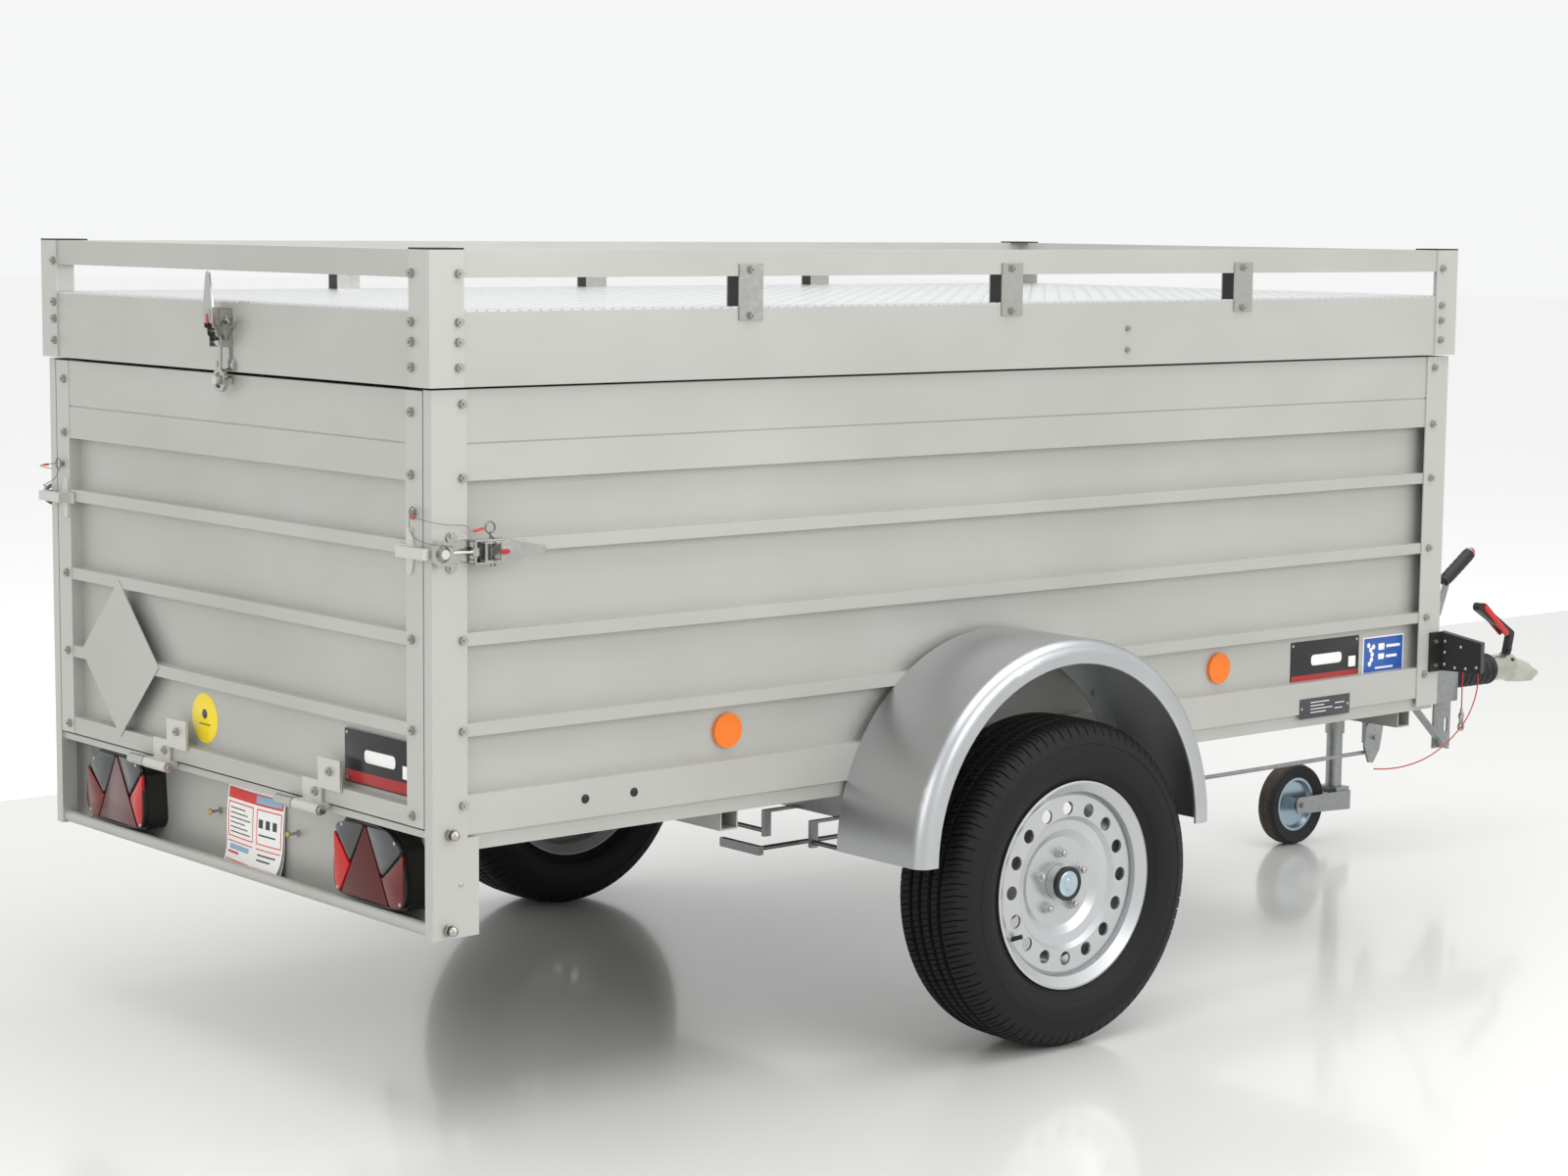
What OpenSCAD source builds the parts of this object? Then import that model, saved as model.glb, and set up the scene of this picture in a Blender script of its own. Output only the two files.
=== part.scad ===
// Single-axle braked box trailer with a hinged aluminium lid, a roof rail and a drop tailgate.
// Millimetres. +X points to the tow coupling, +Y to the left side, +Z up.
// The origin is on the ground, in the middle of the overall length and width.

/* [Body] */
// Length of the lid over its corner posts
lid_l = 2619; // [2400:1:3200]
// Width of the lid over its corner posts
lid_w = 1324; // [1150:1:1600]
// How far the body stands in from the lid's faces
body_inset = 9; // [6:1:14]
// Height of the load floor above the ground
floor_z = 575; // [560:1:620]
// Height of the top of the walls above the ground
wall_top = 1250; // [1230:1:1500]
// Thickness of the floor panel
floor_t = 15; // [9:1:18]
// Thickness of a wall over its ribs
wall_t = 28; // [24:1:34]
// Thickness of the wall skin between its ribs
skin_t = 6; // [4:1:10]
// Sheet thickness of the corner posts and of the lid
sheet = 3; // [2:0.5:4]
// Length of a corner post's leg along the side
post_leg = 69; // [60:1:90]
// Width of a rear post's face beside the tailgate
post_face = 23; // [20:1:30]

/* [Tailgate] */
// Thickness of the tailgate
gate_t = 30; // [26:1:34]
// Gap between the tailgate and each post
gate_gap = 3; // [1.5:0.5:4]
// Width of the tailgate's end channels
stile_w = 49; // [40:1:60]
// Distance of each tailgate hinge from the centreline
gate_hinge_y = 260; // [200:1:400]
// Radius of the tailgate hinge barrel
gate_barrel_r = 10; // [8:0.5:12]
// Radius of the hinge pins
pin_r = 4; // [3:0.5:5]

/* [Lid] */
// Gap between the walls and the lid
lid_gap = 4; // [2:0.5:6]
// Height of the lid's skirt
skirt_h = 124; // [100:1:160]
// Open height between the lid's deck and its rail
rail_gap = 52; // [40:1:80]
// Height of the rail tube
rail_h = 45; // [30:1:60]
// Width of the rail tube
rail_w = 30; // [20:1:40]
// Length of a rail support along the rail
support_l = 53; // [40:1:80]
// Distance of each lid hinge from the centreline
lid_hinge_y = 450; // [300:1:520]

/* [Gas springs] */
// Distance of the spring's wall pivot behind the lid hinge
spring_wall_back = 696; // [650:1:720]
// Height of the wall pivot under the lid hinge
spring_wall_drop = 32; // [24:1:40]
// Distance of the spring's lid pivot behind the lid hinge
spring_lid_back = 1021; // [980:1:1100]
// Height of the lid pivot over the lid hinge
spring_lid_rise = 50; // [40:1:60]
// Radius of the spring's cylinder
spring_r = 11; // [9:1:13]
// Radius of the spring's rod
spring_rod_r = 5; // [4:0.5:6]

/* [Wheels] */
// Outer radius of the tyre
tyre_r = 307.5; // [290:0.5:330]
// Width of the tyre
tyre_w = 189; // [165:1:205]
// Radius of the rim's bead seat
bead_r = 177.8; // [165:0.1:190]
// Width of the rim between its flanges
rim_w = 140; // [127:1:153]
// Distance of the tyre's middle plane from the centreline
track_half = 779; // [770:1:860]
// Distance of the wheel centre from the lid's rear face
wheel_back = 1295; // [1250:1:1400]
// Bolt circle of the wheel
wheel_pcd = 112; // [98:1:130]
// Number of vent holes in a wheel disc
vents = 16; // [8:1:20]
// Length of a suspension arm from its pivot to the wheel centre
arm_l = 150; // [130:1:170]
// Outer radius of a mudguard
guard_r = 381; // [375:1:400]
// Width of a mudguard
guard_w = 225; // [220:1:245]

/* [Drawbar] */
// Reach of the coupling's nose in front of the lid
tow_reach = 1229; // [1150:1:1400]
// Height of the drawtube's axis above the ground
tow_z = 411; // [405:1:425]
// Width of the drawbar
drawbar_w = 70; // [66:1:80]
// Height of the drawbar
drawbar_h = 80; // [74:1:84]
// Radius of the drawtube
drawtube_r = 25; // [22:0.5:27]
// Radius of the coupling's ball cup
cup_r = 25.5; // [25.2:0.1:26]
// Distance of the jockey mast from the centreline
jockey_y = 170; // [150:1:190]
// Radius of the jockey's outer tube
mast_r = 24; // [22:0.5:28]
// Radius of the jockey wheel
jockey_r = 100; // [90:1:105]
// Width of the jockey wheel
jockey_w = 50; // [40:1:60]

/* [Latches] */
// Height of the side latches above the ground
latch_z = 987; // [975:1:1000]
// Distance of the lid latch from the centreline
lid_latch_y = 25; // [0:1:60]
// Distance from a latch bolt's pin to the catch it hooks over
bolt_l = 66; // [60:1:72]
// Length of a latch lever from the bolt's pin to its tip
lever_l = 125; // [110:1:150]
// Radius of a catch
catch_r = 8; // [6:0.5:9]

/* [Hidden] */

$fn = 48;
run_fit = 0.05;      // radial clearance of a pin that turns or slides
part_gap = 0.5;      // clearance between pieces that pass each other
aluminium = "#d9dad6";
zinc = "#b9bdbd";
black = "#1c1c1c";

// The lid's latch lever stands out furthest at the back and the coupling's nose at the front.
lever_h = 38;
latch_reach = lever_h - sheet;
rear_x = -(lid_l + tow_reach + latch_reach) / 2 + latch_reach;
front_x = rear_x + lid_l;
nose_x = front_x + tow_reach;

body_x0 = rear_x + body_inset;
body_x1 = front_x - body_inset;
half_w = lid_w / 2 - body_inset;
wall_y = half_w - sheet;
wall_in_y = wall_y - wall_t;
wall_x0 = body_x0 + gate_t + 1;
wall_x1 = body_x1 - sheet;

sill_base = floor_z - 86;
lip_top = sill_base + 28;
wall_base = floor_z + 8;
floor_base = floor_z - floor_t;
beam_h = 38;
beam_base = sill_base - beam_h;
low_z = floor_z - 227;
front_post_base = sill_base + 10;
sill_w = 60;

// Three ribs stand out of a wall below its plain top band, which a groove line splits.
top_band = 149;
rib_pitch = (wall_top - top_band - wall_base) / 3.45;
rib_z = [for (i = [0:2]) wall_base + rib_pitch * (i + 0.72)];
wall_bands = concat([for (z = rib_z) [z - 11, z + 11]], [[wall_top - top_band, wall_top]]);
groove_z = wall_top - 88;

gate_half = half_w - post_face - gate_gap;
gate_base = floor_z - 44;
gate_top = wall_top - 2;
gate_bands = concat([[gate_base, gate_base + 32]], [for (z = rib_z) [z - 11, z + 11]],
    [[wall_top - top_band, gate_top]]);
gate_pin_x = rear_x - 10;
gate_pin_z = gate_base - 9;

lid_z = wall_top + lid_gap;
deck_z = lid_z + skirt_h;
rail_z = deck_z + rail_gap;
lid_top = rail_z + rail_h + sheet;
lid_pin_x = front_x + 14;
lid_pin_z = lid_z;
lid_post_a = 67;
lid_post_b = 60;
support_x = [rear_x + 667, rear_x + 1298, rear_x + 1940];
reflector_x = [rear_x + 645, rear_x + 1929];

carrier_depth = 66;
carrier_top = floor_z - 48;
carrier_x = body_x0 + carrier_depth;

wheel_x = rear_x + wheel_back;
wheel_z = tyre_r;
arm_x = wheel_x + arm_l;
arm_z = wheel_z + 26.5;
axle_half = 35;
guard_x = wheel_x - 25;
guard_z = floor_z - 186;

drawbar_x0 = rear_x + 600;
housing_x0 = front_x + 491;
housing_x1 = front_x + 861;
bellows_x1 = housing_x1 + 172;
ball_x = nose_x - 57;
ball_z = tow_z - 26;
brake_y = 49;
brake_x = front_x + 529;
brake_z = tow_z - 120;
brake_rod_z = brake_z - 36;
jockey_x = front_x + 649;
jockey_trail = 160;

latch_x = rear_x + 85;
lid_latch_z = wall_top - 11 + bolt_l;

// ---- helpers ----

module block(a, b) translate(a) cube(b - a);
module along_x(p, r, l) translate(p) rotate([0, 90, 0]) cylinder(r = r, h = l);
module along_y(p, r, l) translate(p) rotate([-90, 0, 0]) cylinder(r = r, h = l);
module both_sides() {
    children();
    mirror([0, 1, 0]) children();
}
module mirrored() mirror([0, 1, 0]) children();

// Nut with its washer and the end of its bolt, standing on a face and pointing along +Z.
module nut(size = 13) {
    cylinder(r = size * 0.62, h = 1.2);
    translate([0, 0, 1.2]) cylinder(r = size / 2 / cos(30), h = size * 0.42, $fn = 6);
    translate([0, 0, 1.2 + size * 0.42]) cylinder(r = size * 0.23, h = size * 0.2);
}
module nut_right(x, z, y, size = 13) translate([x, -y, z]) rotate([90, 0, 0]) nut(size);
module nut_rear(y, z, x, size = 13) translate([x, y, z]) rotate([0, -90, 0]) nut(size);
module nut_front(y, z, x, size = 13) translate([x, y, z]) rotate([0, 90, 0]) nut(size);

// Flat outline of a wall: its skin on the inside and its bands standing out towards +X.
module wall_outline(bands, base, top) {
    translate([0, base]) square([skin_t, top - base]);
    difference() {
        for (b = bands) translate([0, b[0]]) square([wall_t, b[1] - b[0]]);
        translate([wall_t - 2, groove_z - 1.5]) square([3, 3]);
    }
}

// Hollow box with its walls `t` thick, open at both ends along X.
module tube_x(a, b, t) difference() {
    block(a, b);
    block([a[0] - 1, a[1] + t, a[2] + t], [b[0] + 1, b[1] - t, b[2] - t]);
}
module tube_y(a, b, t) difference() {
    block(a, b);
    block([a[0] + t, a[1] - 1, a[2] + t], [b[0] - t, b[1] + 1, b[2] - t]);
}

// ---- body ----

module floor_panel() color("#6b5138")
    block([wall_x0, -wall_in_y, floor_base], [wall_x1 - wall_t, wall_in_y, floor_z]);

module sill_outline() difference() {
    union() {
        translate([-wall_y, lip_top]) square([wall_t, wall_base - lip_top]);
        translate([-wall_y + 8, sill_base]) square([sill_w - 8, floor_base - sill_base]);
    }
    translate([-wall_y + sheet, lip_top + sheet]) square([wall_t - 2 * sheet, wall_base - lip_top - 2 * sheet]);
    translate([-wall_y + 8 + sheet, sill_base + sheet])
        square([sill_w - 8 - 2 * sheet, floor_base - sill_base - 2 * sheet]);
}
module chassis_frame() color(aluminium) {
    both_sides() translate([carrier_x, 0, 0]) rotate([90, 0, 90])
        linear_extrude(wall_x1 - carrier_x) sill_outline();
    tube_y([wall_x1 - sill_w, -wall_y + sill_w, sill_base], [wall_x1, wall_y - sill_w, floor_base], sheet);
    for (x = [drawbar_x0 + 40, arm_x + 115, front_x - 99])
        tube_y([x, -wall_y + 30, beam_base], [x + 40, wall_y - 30, sill_base], sheet);
}

module side_wall() translate([wall_x0, -wall_in_y, 0]) rotate([90, 0, 90]) mirror([1, 0, 0])
    linear_extrude(wall_x1 - wall_x0) wall_outline(wall_bands, wall_base, wall_top);
module right_wall() color(aluminium) side_wall();
module left_wall() color(aluminium) mirrored() side_wall();
module front_wall() color(aluminium) translate([wall_x1 - wall_t, wall_in_y, 0]) rotate([90, 0, 0])
    linear_extrude(2 * wall_in_y) wall_outline(wall_bands, wall_base, wall_top);

module rear_post() {
    difference() {
        block([body_x0, -half_w, low_z], [body_x0 + gate_t + 1, -half_w + post_face, wall_top]);
        block([body_x0 + sheet, -half_w + sheet, low_z - 1],
            [body_x0 + gate_t + 1 - sheet, -half_w + post_face - sheet, wall_top + 1]);
    }
    block([body_x0 + gate_t + 1, -half_w, low_z], [body_x0 + post_leg, -half_w + sheet, wall_top]);
    block([body_x0 + post_leg, -half_w, low_z], [body_x0 + post_leg + 22, -half_w + sheet, lip_top - 4]);
}
module front_post() {
    block([body_x1 - post_leg, -half_w, front_post_base], [body_x1, -half_w + sheet, wall_top]);
    block([body_x1 - sheet, -half_w + sheet, front_post_base], [body_x1, -half_w + 60, wall_top]);
}
module corner_posts() color(aluminium) both_sides() {
    rear_post();
    front_post();
}

// Rear cross profile: a back web, a floor ledge, a top flange and a rolled bottom lip.
module carrier_outline() {
    web = 3;
    translate([carrier_depth - web, low_z]) square([web, floor_base - low_z]);
    translate([5, carrier_top - 12]) square([carrier_depth - 5, 12]);
    translate([gate_t + 4, carrier_top]) square([4, floor_base - carrier_top]);
    translate([gate_t + 4, floor_base - 4]) square([carrier_depth - gate_t - 4, 4]);
    translate([14, low_z + 12]) circle(r = 11);
    translate([14, low_z + 1]) square([carrier_depth - 14, 5]);
}
module light_carrier() color(aluminium) translate([body_x0, half_w - post_face, 0]) rotate([90, 0, 0])
    linear_extrude(2 * (half_w - post_face)) carrier_outline();

// Rounded outline of a tail lamp, with its upper outer corner cut back.
lamp_w = 223;
lamp_h = 137;
lamp_in_y = 330;
lamp_z = carrier_top - 12 - 4 - lamp_h;
module lamp_outline(grow) {
    r = 26;
    for (p = [[r, r], [lamp_w - r, r], [r + 14, lamp_h - r], [lamp_w - r - 26, lamp_h - r]])
        translate(p) circle(r = r + grow);
    polygon([[r, -grow], [lamp_w - r, -grow], [lamp_w + grow, r], [lamp_w + grow, lamp_h * 0.42],
        [lamp_w - 13, lamp_h - r * 1.35], [lamp_w - r - 26, lamp_h + grow], [r + 14, lamp_h + grow],
        [7, lamp_h - r * 1.2], [-grow, r]]);
}
module tail_shape(x, depth, grow) translate([x, -lamp_in_y, lamp_z]) rotate([0, 0, 180])
    rotate([90, 0, 90]) translate([0, 0, -depth]) linear_extrude(depth) lamp_outline(grow);
lamp_back = carrier_x - 3;
lamp_lens_x = body_x0 + 10;

// Rubber arm of a front marker lamp: a flange on the post and a wing that leans outwards.
wing_top = sill_base + 168;
wing_base = sill_base + 83;
module marker_arm() {
    block([body_x1 - 34, -half_w - 6, wing_base], [body_x1 + 6, -half_w, wing_top]);
    translate([body_x1 + 6, -half_w, 0]) rotate([0, 0, -72]) difference() {
        block([0, -2, wing_base], [92, 20, wing_top]);
        translate([0, -3, wing_top]) rotate([0, 12, 0]) cube([120, 30, 60]);
    }
}
module marker_lens() translate([body_x1 + 6, -half_w, 0]) rotate([0, 0, -72])
    block([38, 20.5, wing_base + 12], [88, 36, wing_top - 28]);

module lamp_housings() color(black) both_sides() {
    tail_shape(lamp_lens_x + 12, lamp_back - lamp_lens_x - 12, 0);
    marker_arm();
}
module lamp_lenses() color("#a31f1c") both_sides() {
    tail_shape(lamp_lens_x, 11.5, -1);
    marker_lens();
}

rear_post_nuts = [wall_top - 23, wall_top - 143, rib_z[1], rib_z[0], wall_base - 15];
front_post_nuts = concat(rear_post_nuts, [rib_z[2]]);
plate_screw_y = 135;
plate_screw_z = low_z + 92;
module post_fasteners() color(zinc) {
    both_sides() {
        for (z = rear_post_nuts) nut_right(rear_x + 69, z, half_w);
        for (z = front_post_nuts) nut_right(front_x - 56, z, half_w);
        nut_right(rear_x + 44, carrier_top - 5, half_w, 19);
        nut_right(rear_x + 40, low_z + 15, half_w, 19);
        for (z = [wing_base + 14, wing_top - 20]) nut_right(front_x - 27, z, half_w + 6, 8);
        along_x([carrier_x - 3 - 22, plate_screw_y, plate_screw_z], 3, 22);
        along_x([carrier_x - 3 - 6, plate_screw_y, plate_screw_z], 6, 6);
    }
}

reflector_r = 31;
module side_reflectors() color("#f07a10") both_sides()
    for (x = reflector_x)
        along_y([x, -wall_in_y - skin_t - 7, wall_base + 50], reflector_r, 7);

// Half-round wing: crown, rounded shoulder, outer flange with a rolled bead, and an inner flange.
guard_t = 2.5;
guard_flange = 41;
module guard_outline() {
    shoulder = 26;
    translate([guard_r - guard_t, 0]) square([guard_t, guard_w - shoulder]);
    translate([guard_r - shoulder, guard_w - shoulder]) intersection() {
        difference() {
            circle(r = shoulder);
            circle(r = shoulder - guard_t);
        }
        square(shoulder + 1);
    }
    translate([guard_r - guard_flange, guard_w - guard_t]) square([guard_flange - shoulder, guard_t]);
    translate([guard_r - guard_flange, guard_w - 5]) circle(r = 5, $fn = 24);
    translate([guard_r - guard_flange, 0]) square([guard_flange, guard_t]);
}
module guard() translate([guard_x, -wall_y, guard_z]) rotate([90, 0, 0])
    rotate_extrude(angle = 180, $fn = 96) guard_outline();
module mudguards() color("#a9adb0") both_sides() {
    guard();
    for (a = [40, 90, 140])
        translate([guard_x + cos(a) * (guard_r - 22), -wall_y - guard_t, guard_z + sin(a) * (guard_r - 22)])
            rotate([90, 0, 0]) nut(10);
}

// ---- axle, wheels ----

axle_end = 520;
module axle_beam() color(zinc) {
    tube_y([arm_x - axle_half, -axle_end, arm_z - axle_half], [arm_x + axle_half, axle_end, arm_z + axle_half], 5);
    block([arm_x - 60, -60, arm_z + axle_half], [arm_x + 60, 60, tow_z - drawbar_h / 2]);
    both_sides() {
        difference() {
            block([arm_x - 50, -axle_end, arm_z + axle_half], [arm_x + 50, -axle_end + 20, sill_base]);
            along_y([arm_x, -axle_end - 1, (arm_z + axle_half + sill_base) / 2], 16, 22);
        }
        block([arm_x - 50, -wall_y + 12, sill_base - 8], [arm_x + 50, -axle_end, sill_base]);
        along_y([wheel_x + 35, -576, wheel_z - 48], 5, 506);
        block([wheel_x + 26, -80, wheel_z - 59], [wheel_x + 44, -70, arm_z - axle_half]);
        block([wheel_x + 26, -80, arm_z - axle_half], [arm_x - axle_half + 6, -70, arm_z - axle_half + 6]);
    }
}

hub_plane = track_half + 30;
drum_r = 112;
module right_arm_shape() {
    plate_y = -axle_end - 40;
    along_y([arm_x, -axle_end - 12, arm_z], 24, 92);
    difference() {
        union() {
            along_y([arm_x, plate_y, arm_z], 34, 28);
            along_y([wheel_x, plate_y, wheel_z], 34, 28);
            translate([0, plate_y + 27, 0]) rotate([90, 0, 0]) linear_extrude(26)
                polygon([[wheel_x, wheel_z + 27], [arm_x, arm_z + 27], [arm_x, arm_z - 27], [wheel_x, wheel_z - 27]]);
        }
        along_y([arm_x, plate_y - 1, arm_z], 8, 12);
    }
    along_y([wheel_x, -583, wheel_z], 20, 583 + plate_y + 1);
    along_y([wheel_x, -588, wheel_z], drum_r, 6);
    along_y([wheel_x, -hub_plane + 60, wheel_z], 16, hub_plane - 60 - 588);
}
module right_arm() color("#8f9496") right_arm_shape();
module left_arm() color("#8f9496") mirrored() right_arm_shape();

// Steel wheel in its own axes: the wheel's axis is Z and the outside is +Z.
module rim_profile() {
    half = rim_w / 2;
    t = 4;
    flange = 17.5;
    drop = 22;
    polygon([[bead_r + flange, half + 8], [bead_r + flange - t, half + 9], [bead_r + 4, half + 2],
        [bead_r - t, half - 4], [bead_r - t, 34], [bead_r - t - drop, 22], [bead_r - t - drop, -12],
        [bead_r - t, -26], [bead_r - t, -half + 4], [bead_r + 4, -half - 2],
        [bead_r + flange - t, -half - 9], [bead_r + flange, -half - 8], [bead_r + flange, -half - 5],
        [bead_r + 6, -half + 2], [bead_r, -half + 6], [bead_r, -24], [bead_r - drop, -10],
        [bead_r - drop, 20], [bead_r, 32], [bead_r, half - 6], [bead_r + 6, half - 2],
        [bead_r + flange, half + 5]]);
}
module disc_profile() {
    t = 5;
    polygon([[bead_r - 4, 52], [bead_r - 12, 52 + t], [126, 52 + t], [118, 48], [100, 44], [84, 30 + t],
        [34, 30 + t], [34, 30], [86, 30], [102, 38], [120, 42], [128, 52], [bead_r - 14, 52],
        [bead_r - 8, 44], [bead_r - 4, 44]]);
}
vent_ring = 142;
module wheel_shape() {
    rotate_extrude($fn = 96) rim_profile();
    difference() {
        rotate_extrude($fn = 96) disc_profile();
        for (i = [0:vents - 1]) rotate([0, 0, i * 360 / vents]) translate([vent_ring, 0, 40])
            cylinder(r = 13, h = 30, $fn = 32);
    }
    // Drum and hub: a shell that turns round the stub axle, with a grease cap.
    difference() {
        union() {
            translate([0, 0, -188]) cylinder(r = drum_r + 3, h = 60);
            translate([0, 0, -130]) cylinder(r = 70, h = 160);
            translate([0, 0, 29]) cylinder(r = 33.5, h = 12);
            translate([0, 0, 40]) cylinder(r = 30, h = 22);
        }
        translate([0, 0, -189]) cylinder(r = drum_r - 8, h = 45);
        translate([0, 0, -150]) cylinder(r = 16 + run_fit, h = 152);
    }
    for (i = [0:4]) rotate([0, 0, i * 72 + 18]) translate([wheel_pcd / 2, 0, 30 + 5]) {
        cylinder(r = 11, h = 3);
        cylinder(r = 9.8, h = 12, $fn = 6);
        cylinder(r = 6, h = 16);
    }
}
module on_right_hub() translate([wheel_x, -track_half, wheel_z]) rotate([90, 0, 0]) children();
module right_rim() color("#c4c6c8") on_right_hub() wheel_shape();
module left_rim() color("#c4c6c8") mirrored() on_right_hub() wheel_shape();

module tyre_profile() {
    half = tyre_w / 2;
    bead = rim_w / 2 - 6.5;
    seat = bead_r + 0.4;
    polygon([[seat, bead], [seat, bead - 14], [seat + 14, bead - 10], [tyre_r - 62, half - 12],
        [tyre_r - 24, half - 24], [tyre_r - 14, half - 44], [tyre_r - 14, -half + 44],
        [tyre_r - 24, -half + 24], [tyre_r - 62, -half + 12], [seat + 14, -bead + 10],
        [seat, -bead + 14], [seat, -bead], [seat + 6.5, -bead - 4], [seat + 26, -bead - 13],
        [tyre_r - 84, -half + 3], [tyre_r - 66, -half], [tyre_r - 48, -half + 2], [tyre_r - 28, -half + 9],
        [tyre_r - 12, -half + 18], [tyre_r - 4, -half + 28], [tyre_r, -half + 42], [tyre_r, half - 42],
        [tyre_r - 4, half - 28], [tyre_r - 12, half - 18], [tyre_r - 28, half - 9],
        [tyre_r - 48, half - 2], [tyre_r - 66, half], [tyre_r - 84, half - 3], [seat + 26, bead + 13],
        [seat + 6.5, bead + 4]]);
}
module right_tyre() color(black) on_right_hub() rotate_extrude($fn = 128) tyre_profile();
module left_tyre() color(black) mirrored() on_right_hub() rotate_extrude($fn = 128) tyre_profile();

// ---- drawbar and coupling ----

module drawbar() color(zinc)
    tube_x([drawbar_x0, -drawbar_w / 2, tow_z - drawbar_h / 2], [housing_x0, drawbar_w / 2, tow_z + drawbar_h / 2], 4);

foot_x = housing_x1 - 40;
foot_base = tow_z - 184;
module overrun_housing() color(zinc) {
    difference() {
        union() {
            block([housing_x0, -50, tow_z - 66], [housing_x0 + 12, 50, tow_z + 54]);
            block([housing_x0 + 12, -42, tow_z - 61], [housing_x1, 42, tow_z + 34]);
        }
        along_x([housing_x0 - 1, 0, tow_z], drawtube_r + run_fit, housing_x1 - housing_x0 + 2);
    }
    block([brake_x - 20, -42, brake_z - 14], [brake_x + 20, -30, tow_z - 61]);
    along_y([brake_x, -brake_y - 10, brake_z], 6, brake_y + 10 - 30);
    difference() {
        block([foot_x, -3, foot_base], [foot_x + 65, 3, tow_z - 61]);
        hull() for (z = [foot_base + 44, foot_base + 68]) along_y([foot_x + 48, -4, z], 7, 8);
    }
    translate([foot_x, -3, 0]) rotate([90, 0, 0]) linear_extrude(25)
        polygon([[-110, tow_z - 61], [-102, tow_z - 61], [34, foot_base], [27, foot_base]]);
}

module bellows_outline() {
    folds = 8;
    step = (bellows_x1 - housing_x1) / folds;
    polygon(concat([[drawtube_r + 2, 0]], [for (i = [0:folds - 1], e = [0:1])
        [e == 0 ? 31 + i * 0.3 : 38 + i * 0.3, (i + e * 0.5) * step]], [[34, folds * step],
        [drawtube_r + 2, folds * step]]));
}
module bellows() color(black) translate([housing_x1, 0, tow_z]) rotate([0, 90, 0])
    rotate_extrude($fn = 48) bellows_outline();

sleeve_x = bellows_x1 + part_gap;
tube_end = sleeve_x + 52;
module drawtube() color(zinc) difference() {
    along_x([housing_x0 + 30, 0, tow_z], drawtube_r, tube_end - housing_x0 - 30);
    along_x([housing_x0 + 29, 0, tow_z], drawtube_r - 6, tube_end - housing_x0);
}
// Pressed steel head: a sleeve on the drawtube, a bridge, and a dome over the ball.
module coupling_head() color("#aeb2b0") difference() {
    union() {
        along_x([sleeve_x, 0, tow_z], drawtube_r + 8, 84);
        hull() {
            along_x([sleeve_x + 60, 0, tow_z], drawtube_r + 8, 8);
            translate([ball_x, 0, ball_z]) sphere(r = cup_r + 9, $fn = 32);
        }
        hull() {
            translate([ball_x, 0, ball_z]) sphere(r = cup_r + 4, $fn = 32);
            along_y([nose_x - 8, -12, ball_z], 8, 24);
        }
    }
    along_x([sleeve_x - 1, 0, tow_z], drawtube_r, tube_end - sleeve_x + 1.5);
    translate([ball_x, 0, ball_z]) sphere(r = cup_r);
    translate([ball_x, 0, ball_z - 60]) cylinder(r = cup_r, h = 60);
    block([ball_x - 60, -60, ball_z - 60], [nose_x + 1, 60, ball_z - 14]);
    along_y([handle_x, -13, handle_z], 16, 26);
    block([handle_x - 10, -13, handle_z - 12], [handle_x + 30, 13, handle_z + 60]);
    along_y([handle_x, -60, handle_z], pin_r + run_fit, 120);
}
handle_x = sleeve_x + 68;
handle_z = tow_z + 20;
module coupling_handle() color("#c3271f") {
    along_y([handle_x, -11, handle_z], 14, 22);
    along_y([handle_x, -30, handle_z], pin_r, 60);
    difference() {
        union() {
            hull() {
                along_y([handle_x + 8, -8, handle_z + 14], 9, 16, $fn = 32);
                along_y([handle_x + 20, -8, handle_z + 62], 9, 16, $fn = 32);
            }
            hull() {
                along_y([handle_x + 20, -8, handle_z + 62], 9, 16, $fn = 32);
                along_y([handle_x - 112, -10, handle_z + 140], 11, 20, $fn = 32);
            }
        }
        along_y([handle_x, -20, handle_z], 14.2, 40);
    }
    difference() {
        block([handle_x - 2, -8, handle_z], [handle_x + 14, 8, handle_z + 14]);
        along_y([handle_x, -20, handle_z], 14 - 1, 40);
    }
}

// Handbrake: a sector plate on its pivot, a bar bent towards the front, and a grip.
module handbrake_lever() color(zinc) {
    y0 = -brake_y - 3;
    translate([brake_x, y0 + 6, brake_z]) rotate([90, 0, 0]) linear_extrude(6) difference() {
        union() {
            polygon([[-29, 30], [-6, 52], [24, 46], [34, 34], [28, 0], [21, -32], [-2, -62], [-17, -60], [-35, -20]]);
            rotate(-39) translate([-9, 30]) square([18, 346]);
            translate([233, 284]) rotate(-22) translate([-9, 0]) square([18, 92]);
        }
        circle(r = 6 + run_fit);
    }
    color(black) translate([brake_x + 262, y0 + 3, brake_z + 370]) rotate([0, 57, 0]) {
        cylinder(r = 15, h = 108);
        translate([0, 0, 108]) cylinder(r = 9, h = 8);
    }
}
rod_y = -41;
module brake_rod() color(zinc) {
    along_x([arm_x - 250, rod_y, brake_rod_z], 5, brake_x - arm_x + 250 - 6);
    difference() {
        along_y([brake_x, rod_y - 3.5, brake_rod_z], 11, 7);
        along_y([brake_x, rod_y - 5, brake_rod_z], 5, 10);
    }
    block([arm_x - 250, rod_y - 22, brake_rod_z - 9], [arm_x - 238, rod_y + 104, brake_rod_z + 9]);
}

// ---- jockey wheel ----

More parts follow.
